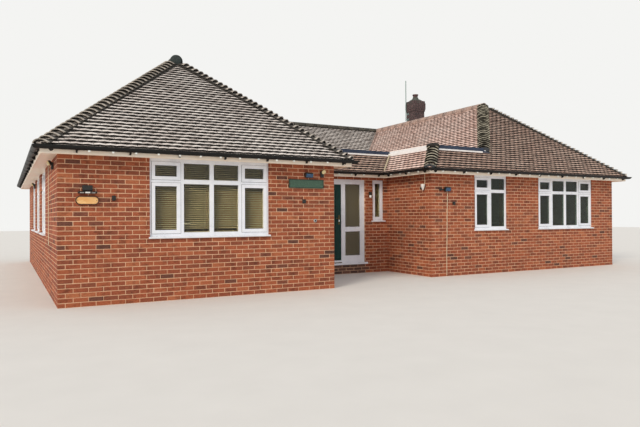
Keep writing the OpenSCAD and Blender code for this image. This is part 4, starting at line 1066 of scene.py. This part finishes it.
# A thin strip of black rubber runs round each opening sash as the painted shadow of its gap, and
# meets the frame's face
gap = [(-0.004, 0.0285), (0.0, 0.0275), (0.001, 0.031), (-0.004, 0.031)]
for sash in sashes:
    mitred_frame(gaskets_and_sash_shade, *sash, gap)
for opening in openings:
    mitred_frame(beads, *opening, bead_at(face_in, glass_in))
    mitred_frame(gaskets_and_sash_shade, *opening, gasket_at(glass_in))
nosing = [(0.03, 0.0), (-0.036, 0.0), (-0.042, 0.003), (-0.045, 0.009), (-0.045, 0.019),
          (-0.041, 0.024), (0.0, 0.034), (0.03, 0.038)]
for wall, x, n in windows:
    mould_along(sills, wall, nosing, x - 0.015, x + window_width(n) + 0.015, sill_z)
mould_along(sills, entrance_wall, nosing, narrow_x - 0.04, narrow_x + narrow_width + 0.04,
            narrow_foot)
for name, shape, made, named in (("nosed_sills", sills, white_vinyl, "white_plastic"),
                                 ("glazing_beads", beads, white_vinyl, "white_plastic"),
                                 ("glazing_gaskets", gaskets_and_sash_shade, gasket_rubber, "black_plastic")):
    held = piece(name, *shape, made)
    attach(held, "house")
    if shape is sills:
        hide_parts("window_sills")

# Blinds
# Slatted blinds hang inside every window: a head rail, curved slats 33 mm apart, a bottom rail and
# two ladder strings to each light. They are open at the front and shut at the sides and rear.

slat_wide, slat_apart, slat_bow, slat_thick = 0.035, 0.033, 0.003, 0.0012
blind_in, rail_foot, blind_side = 0.125, 2.36, 0.015
# Stove-enamelled slats: cream-grey, satin, dusted along their length
slat_enamel = mottled("dusty_enamelled_slat", ("#CCC6B0", "#E6E0CC"), 0.3, 0.004, 0.45, 0.0003)
# Woven cord: pale, matt
ladder_cord = mottled("braided_ladder_cord", ("#A8A292", "#C4BEAE"), 0.02, 0.002, 0.9, 0.0004)
outline = []
c, s = math.cos(math.radians(22)), math.sin(math.radians(22))
for under, steps in ((0.0, range(-2, 3)), (slat_thick, range(2, -3, -1))):
    for t in (k / 2 for k in steps):
        y, z = t * slat_wide / 2, slat_bow * (1 - t * t) - under
        outline.append((y * c - z * s, y * s + z * c))
slat = piece("slat", *slab_of(outline, -0.5, 0.5), slat_enamel)
string = piece("string", *worn_block(0.0025, 0.0025, 1, 0.0008), ladder_cord)
rail = piece("rail", *worn_block(1, 0.036, 0.04, 0.003), slat_enamel)
slat_places, string_places, rail_places = [], [], []
for wall, left, count in windows:
    shut = 0 if wall is front_wall else -0.35 if wall is right_front_wall else 0.85
    long = window_width(count) - 2 * blind_side
    middle = left + window_width(count) / 2
    slat_places += [set_at(wall, middle, blind_in, rail_foot - 0.02 - k * slat_apart,
                           (long, 1, 1), shut)
                    for k in range(math.floor((rail_foot - light_foot - 0.03) / slat_apart))]
    rail_places += [set_at(wall, middle, blind_in, rail_foot + 0.02, (long, 1, 1)),
                    set_at(wall, middle, blind_in, light_foot + 0.009, (long, 0.7, 0.4))]
    for k in range(2 * count):
        light = left + side_edge + (k // 2) * (light_wide + bar_wide)
        string_places += [
            set_at(wall, light + light_wide * (0.8 if k % 2 else 0.2), blind_in + depth,
                   (rail_foot + light_foot) / 2, (1, 1, rail_foot - light_foot))
            for depth in (-0.0135, 0.0135)]
# A short one of 29 slats in the narrow window by the door
slat_places += [set_at(entrance_wall, narrow_x + narrow_width / 2, blind_in,
                       door_top - 0.05 - k * slat_apart, (0.3, 1, 1)) for k in range(29)]
slats = set_out("blind_slats", slat_places, slat, slat_enamel, wander=0.0006, seed=53)
strings = set_out("blind_strings", string_places, string, ladder_cord, seed=59)
rails = set_out("blind_rails", rail_places, rail, slat_enamel, seed=61)
put_away(slat, string, rail)
for held in (slats, strings, rails):
    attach(held, "house")
    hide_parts("window_blinds")

# Front door
# A plastic-faced dark green door with one tall pane and a grooved panel hangs on three pin hinges
# in a white frame, with a sidelight in two panes and a brass weather strip at its foot.

# Wood-grained green vinyl: very dark, satin, with grain drawn up the door about 6 mm apart
door_skin = mottled("grained_green_vinyl_skin", ("#0A2926", "#10403A"), 0.02, 0.006, 0.5, 0.0008,
                    stretch=(1, 1, 0.12), **{"Specular IOR Level": 0.25})
# Lacquered brass, dulled by handling
brass = mottled("dulled_lacquered_brass", ("#4C4230", "#6F6245"), 0.03, 0.002, 0.34, 0.0002,
                Metallic=1.0)
dress(door_skin, "front_door")
dress(brass, "door_handles")
dress(glazing("green_satin_glass", "#8D9A8C", 0.4, 0.3), "door_glass")
dress(glazing("bronze_satin_glass", "#B9B297", 0.8, 0.35), "sidelight_glass")
leaf_face = 0.07
door_pane, panel = (0.8345, 1.4395, 1.18, 2.08), (0.8245, 1.4495, 0.47, 1.08)
door_beads, door_gaskets = ([], []), ([], [])
for opening, section in (
        (door_pane, [(-0.022, 0.0), (-0.018, -0.007), (-0.004, -0.009), (0.012, 0.006),
                     (0.012, 0.0115), (0.0, 0.0115)]),
        (panel, [(-0.02, 0.001), (-0.016, -0.007), (-0.004, -0.008), (0.004, -0.002),
                 (0.004, 0.001)])):
    mitred_frame(door_beads, entrance_wall, *opening,
                 [(inset, leaf_face + depth) for inset, depth in section])
mitred_frame(door_gaskets, entrance_wall, *door_pane, gasket_at(leaf_face + 0.012))
door_mould = piece("door_mouldings", *door_beads, door_skin)
door_seal = piece("door_gasket", *door_gaskets, gasket_rubber)
rose = piece("key_rose", *worn_block(0.036, 0.012, 0.05, 0.005), mottled(
    "polished_steel_rose", ("#C9CCCE", "#E6E8EA"), 0.02, 0.002, 0.25, 0.0002, Metallic=1.0))
rose.data.transform(Matrix.Translation(on_wall(entrance_wall, 1.542, leaf_face - 0.013, 1.31)))
for held, named in ((door_mould, "door_green"), (door_seal, "black_plastic"), (rose, "brass")):
    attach(held, "front_door")
side_beads, side_gaskets, side_glass = ([], []), ([], []), 0.07
for low, high in ((0.443, 1.041), (1.152, 2.215)):
    pane = entrance_wall, 1.715, 2.147, low, high
    mitred_frame(side_beads, *pane, bead_at(side_glass - 0.016, side_glass))
    mitred_frame(side_gaskets, *pane, gasket_at(side_glass))
side_bead = piece("sidelight_beads", *side_beads, white_vinyl)
side_seal = piece("sidelight_gaskets", *side_gaskets, gasket_rubber)
strip = piece("threshold_strip", *worn_block(0.93, 0.05, 0.016, 0.004), brass)
strip.data.transform(Matrix.Translation(on_wall(entrance_wall, 1.137, 0.045, 0.278)))
for held, named in ((side_bead, "white_plastic"), (side_seal, "black_plastic"),
                    (strip, "brass")):
    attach(held, "house")

# Name plates
# A varnished oval of wood with a scorched rim and a painted board with a darker edge are screwed
# to the front wall. Both faces are bare.

# Varnished softwood: golden, with growth rings drawn out along the plate about 8 mm apart
plate_wood = mottled("varnished_softwood_plate", ("#E0A25C", "#F5C98A"), 0.05, 0.008, 0.4, 0.0004,
                     stretch=(0.2, 1, 1))
scorched = mottled("scorched_varnished_rim", ("#3A1A0C", "#5E2E15"), 0.02, 0.004, 0.45, 0.0005)
# Enamel on board: dark sea green, slightly mottled by weather over 30 mm
board_paint = mottled("weathered_green_enamel", ("#2E4A3C", "#44624F"), 0.03, 0.003, 0.5, 0.0003)
board_edge = mottled("dark_green_enamel", ("#12281F", "#1B3A2C"), 0.03, 0.003, 0.5, 0.0003)
dress(plate_wood, "oval_plaque")
dress(board_paint, "long_board")


def raised_rim(outline, wide, face, stand):
    """A half-round rim that follows an outline on the front wall, just inside it"""
    rings = []
    for inset, out in ((0.0, 0.0), (0.0, stand * 0.7), (wide * 0.4, stand), (wide, stand * 0.5),
                       (wide, 0.0)):
        rings.append([])
        for before, (x, z), after in zip(
                outline[-1:] + outline, outline, outline[1:] + outline[:1]):
            tx, tz = after[0] - before[0], after[1] - before[1]
            step = inset / math.hypot(tx, tz)
            rings[-1].append(on_wall(front_wall, x - tz * step, face - out, z + tx * step))
    return shape_of(rings, closed=True)


plate_face = -0.018
oval = []
for side, first in ((1, -90), (-1, 90)):
    for k in range(13):
        a = math.radians(first + 15 * k)
        oval.append((0.43 + side * 0.105 + 0.075 * math.cos(a), 1.68 + 0.075 * math.sin(a)))
rim = piece("plaque_rim", *raised_rim(oval, 0.02, plate_face, 0.007), scorched, smooth=True)
edge = ([], [])
mitred_frame(edge, front_wall, 3.968, 4.708, 1.9525, 2.1175, [
    (0.0, plate_face), (0.0, plate_face - 0.005), (0.012, plate_face - 0.005),
    (0.014, plate_face)])
edge = piece("board_border", *edge, board_edge)
screw = piece("screw", *worn_block(0.011, 0.006, 0.011, 0.0028), brass)
screws = set_out("plate_screws", [
    set_at(front_wall, x, plate_face - 0.002, z)
    for x, z in ((0.29, 1.68), (0.57, 1.68), (4.0, 2.035), (4.676, 2.035))], screw, brass, seed=67)
put_away(screw)
for held, named in ((rim, "plaque_wood"), (edge, "board_green"), (screws, "brass")):
    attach(held, "house")

# Outside lamps and boxes
# Small lamps, movement sensors and junction boxes are screwed to the walls: moulded black bodies,
# pale lenses and heads, and thin cables clipped to the brick.

# Moulded black housing: dull, with a fine spark-eroded texture
housing = mottled("moulded_black_housing", ("#131312", "#232321"), 0.03, 0.002, 0.55, 0.0004,
                  IOR=1.5)
# Opal lens or white painted shade
opal = mottled("opal_and_white_shade", ("#DCDDD8", "#F4F4F0"), 0.03, 0.004, 0.35, 0.0003, IOR=1.49)
# Yellowed clear lens over a bulb
warm_lens = mottled("yellowed_lens", ("#D9C68E", "#F1E4B4"), 0.02, 0.004, 0.25, 0.0003, IOR=1.49)
# Toughened lamp glass over a dark reflector: deep blue-grey, glossy
lamp_glass = mottled("floodlight_glass", ("#26405C", "#3D5F82"), 0.04, 0.01, 0.12, 0.0002, IOR=1.5)
# Stainless ring
bright_steel = mottled("brushed_stainless_ring", ("#B9BCBE", "#D8DADB"), 0.02, 0.001, 0.32, 0.0002,
                       Metallic=1.0)
lamp_parts = {made: ([], []) for made in (housing, opal, warm_lens, lamp_glass, bright_steel)}


def stand_on(made, wall, along, out, up, shape, lean=0.0):
    """Adds a shape to a wall: x along it, y out of it, z up, leaning its face down by an angle"""
    c, s = math.cos(lean), math.sin(lean)
    gather(lamp_parts[made], (
        [on_wall(wall, along - x, -(out + c * y + s * z), up + c * z - s * y)
         for x, y, z in shape[0]], shape[1]))


def box_part(made, wall, along, out, up, long, deep, high, edge=0.005, lean=0.0):
    """A moulded box about its middle"""
    stand_on(made, wall, along, out, up, worn_block(long, deep, high, edge), lean)


def turned_part(made, wall, along, out, up, profile, upright=False, steps=16, lean=0.0):
    """A turned shape whose radii follow its axis, out of the wall or up it"""
    stand_on(made, wall, along, out, up, shape_of([
        [(x, y, h) if upright else (y, h, x) for x, y in circle(r, steps)]
        for r, h in profile]), lean)


# Twin-lens lamp over the oval plate: a deep body with a wide hood, white beneath
box_part(housing, front_wall, 0.43, 0.036, 1.875, 0.15, 0.068, 0.085)
box_part(housing, front_wall, 0.43, 0.047, 1.812, 0.278, 0.092, 0.02, 0.004)
box_part(housing, front_wall, 0.43, 0.03, 1.797, 0.28, 0.058, 0.016, 0.004)
box_part(opal, front_wall, 0.43, 0.05, 1.803, 0.075, 0.088, 0.024, 0.004)
for along in (0.345, 0.515):
    box_part(opal, front_wall, along, 0.055, 1.8, 0.06, 0.06, 0.012, 0.003)
# Floodlight over the board, tipped down
box_part(housing, front_wall, 4.372, 0.03, 2.2, 0.1, 0.055, 0.06)
box_part(housing, front_wall, 4.376, 0.045, 2.2, 0.164, 0.055, 0.09, 0.006, 0.35)
box_part(lamp_glass, front_wall, 4.376, 0.0745, 2.189, 0.142, 0.004, 0.068, 0.0015, 0.35)
# Spotlights with round pale heads on elbow brackets
for wall, along, up in ((front_wall, 4.674, 2.225), (left_wall, 10.5, 2.27),
                        (left_wall, 4.11, 2.25)):
    box_part(housing, wall, along, 0.021, up, 0.07, 0.04, 0.12, 0.008)
    turned_part(housing, wall, along, 0.03, up + 0.04, [(0.013, 0.0), (0.013, 0.05)])
    for made, profile in (
            (housing, [(0.02, -0.03), (0.036, -0.02), (0.042, 0.0), (0.043, 0.012)]),
            (warm_lens, [(0.043, 0.012), (0.042, 0.022), (0.034, 0.034), (0.018, 0.042),
                         (0.004, 0.044)])):
        turned_part(made, wall, along + 0.01, 0.062, up + 0.05, profile, steps=20, lean=0.5)
# Junction boxes with lids
for wall, along, up, long, high, deep in (
        (front_wall, 0.83, 1.72, 0.06, 0.08, 0.026),
        (front_wall, 4.285, 1.6995, 0.07, 0.075, 0.026),
        (right_front_wall, 0.66, 1.711, 0.06, 0.08, 0.045)):
    box_part(housing, wall, along, deep / 2, up, long, deep, high, 0.006)
    box_part(housing, wall, along, deep + 0.002, up, long * 0.86, 0.006, high * 0.88, 0.002)
# Round push on a steel plate
turned_part(bright_steel, front_wall, 4.525, 0.0, 1.33, [
    (0.035, 0.0), (0.035, 0.012), (0.03, 0.02), (0.02, 0.024), (0.019, 0.02)], steps=24)
turned_part(housing, front_wall, 4.525, 0.014, 1.33, [
    (0.019, 0.0), (0.018, 0.012), (0.008, 0.018)], steps=20)
# Floodlight and movement sensor on the right front
box_part(housing, right_front_wall, 0.444, 0.03, 2.04, 0.09, 0.055, 0.07)
box_part(housing, right_front_wall, 0.444, 0.05, 2.038, 0.168, 0.06, 0.1, 0.006, 0.3)
box_part(lamp_glass, right_front_wall, 0.444, 0.082, 2.028, 0.146, 0.004, 0.078, 0.0015, 0.3)
box_part(housing, right_front_wall, 0.315, 0.016, 2.03, 0.11, 0.024, 0.022, 0.004)
turned_part(housing, right_front_wall, 0.25, 0.002, 2.027, [
    (0.024, 0.0), (0.03, 0.012), (0.03, 0.03), (0.02, 0.045), (0.006, 0.049)], steps=18)
# Half lantern by the sidelight: black hood over a white shade
box_part(housing, entrance_wall, 2.403, 0.02, 1.965, 0.058, 0.036, 0.13, 0.006)
box_part(housing, entrance_wall, 2.403, 0.042, 1.985, 0.06, 0.07, 0.08, 0.008)
turned_part(opal, entrance_wall, 2.403, 0.045, 1.885, [
    (0.02, 0.0), (0.029, 0.012), (0.03, 0.05), (0.026, 0.06)], upright=True, steps=18)
# White cone lamp with its sensor on the return
turned_part(opal, return_wall, 1.515, 0.065, 2.015, [
    (0.008, 0.0), (0.02, 0.025), (0.044, 0.085), (0.052, 0.115), (0.053, 0.14), (0.03, 0.142)],
    upright=True, steps=24)
box_part(housing, return_wall, 1.515, 0.012, 2.12, 0.045, 0.022, 0.05)
box_part(housing, return_wall, 1.43, 0.014, 2.07, 0.11, 0.03, 0.026, 0.004)
turned_part(housing, return_wall, 1.385, 0.002, 2.07, [
    (0.02, 0.0), (0.024, 0.012), (0.024, 0.028), (0.014, 0.042)], steps=18)
for kind, made in (("housing", housing), ("opal", opal), ("warm_lens", warm_lens),
                   ("lamp_glass", lamp_glass), ("bright_steel", bright_steel)):
    held = piece("lamp_" + kind, *lamp_parts[made], made)
    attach(held, "house")
    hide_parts("wall_lamps", "wall_boxes")

# Cables clipped to the walls
# Thin sheathed cables run from the lamps up to the soffit or down the wall.

# Vinyl sheath, cream with dust
sheath = mottled("cream_vinyl_sheath", ("#C9B596", "#E4D5BC"), 0.04, 0.003, 0.5, 0.0003, IOR=1.53)
cables = ([], [])
for wall, route in (
        (right_front_wall, [(0.47, 2.0), (0.475, 1.9), (0.46, 1.5), (0.455, 1.0), (0.44, 0.5),
                            (0.44, 0.03)]),
        (return_wall, [(1.5, 2.14), (1.515, 2.2), (1.515, 2.3), (1.512, 2.398)]),
        (left_wall, [(9.35, 2.398), (9.35, 2.2), (9.345, 1.6), (9.35, 1.1), (9.35, 0.9)])):
    gather(cables, shape_of([
        [on_wall(wall, along + x, y - 0.01, up) for x, y in circle(0.007, 8)]
        for along, up in route]))
held = piece("wall_cables", *cables, sheath)
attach(held, "house")

# Ground, light and camera
# A pale studio floor carries the house's shadow, and the camera stands where the photographer did.

pale, tree, spot = finish("pale_floor_paper")
fibre = add(tree, "TexNoise", {"Vector": spot, "Scale": 2.0, "Detail": 3.0})
shade = add(tree, "ValToRGB", {"Fac": fibre}, [(0.0, "#DEDBD6"), (1.0, "#E6E3DE")])
skin = add(tree, "BsdfPrincipled", {"Base Color": shade, "Roughness": 0.9})
add(tree, "OutputMaterial", {"Surface": skin})
floor_points = [(-60, -60, 0), (60, -60, 0), (60, 60, 0), (-60, 60, 0)]
ground = piece("studio_floor", floor_points, [(0, 1, 2, 3)], pale)

world = bpy.data.worlds.new("studio")
bpy.context.scene.world = world
world.use_nodes = True
tree = world.node_tree
tree.nodes.clear()
rays = add(tree, "LightPath").outputs
seen = add(tree, "Math", [rays["Is Camera Ray"], rays["Is Glossy Ray"]], operation="MAXIMUM")
seen = add(tree, "Math", [seen, rays["Is Transmission Ray"]], operation="MAXIMUM")
soft = add(tree, "Background", {"Color": "#F1F4F8", "Strength": 0.78})
plain = add(tree, "Background", {"Color": "#F4F4F2", "Strength": 1.0})
both = add(tree, "MixShader", {0: seen, 1: soft, 2: plain})
add(tree, "OutputWorld", {"Surface": both})

lamp = bpy.data.lights.new("soft_key", "SUN")
lamp.energy, lamp.angle, lamp.color = 1.9, 0.35, linear("#FFF3E2")[:3]
key = bpy.data.objects.new("soft_key", lamp)
bpy.context.collection.objects.link(key)
key.matrix_world = Vector((-0.76, -0.5, 0.5)).to_track_quat("Z", "Y").to_matrix().to_4x4()

eye = bpy.data.cameras.new("eye_level")
eye.lens, eye.sensor_width, eye.shift_y, eye.clip_end = 32.18, 36, 0.0014, 500
view = bpy.data.objects.new("eye_level", eye)
bpy.context.collection.objects.link(view)
view.matrix_world = (
    Matrix.Translation((-7.960, -15.335, 1.391)) @ Matrix.Rotation(-0.5033, 4, "Z")
    @ Matrix.Rotation(math.pi / 2 + 0.0054, 4, "X") @ Matrix.Rotation(-0.0051, 4, "Z"))
scene = bpy.context.scene
scene.camera = view
scene.view_settings.view_transform = "Standard"
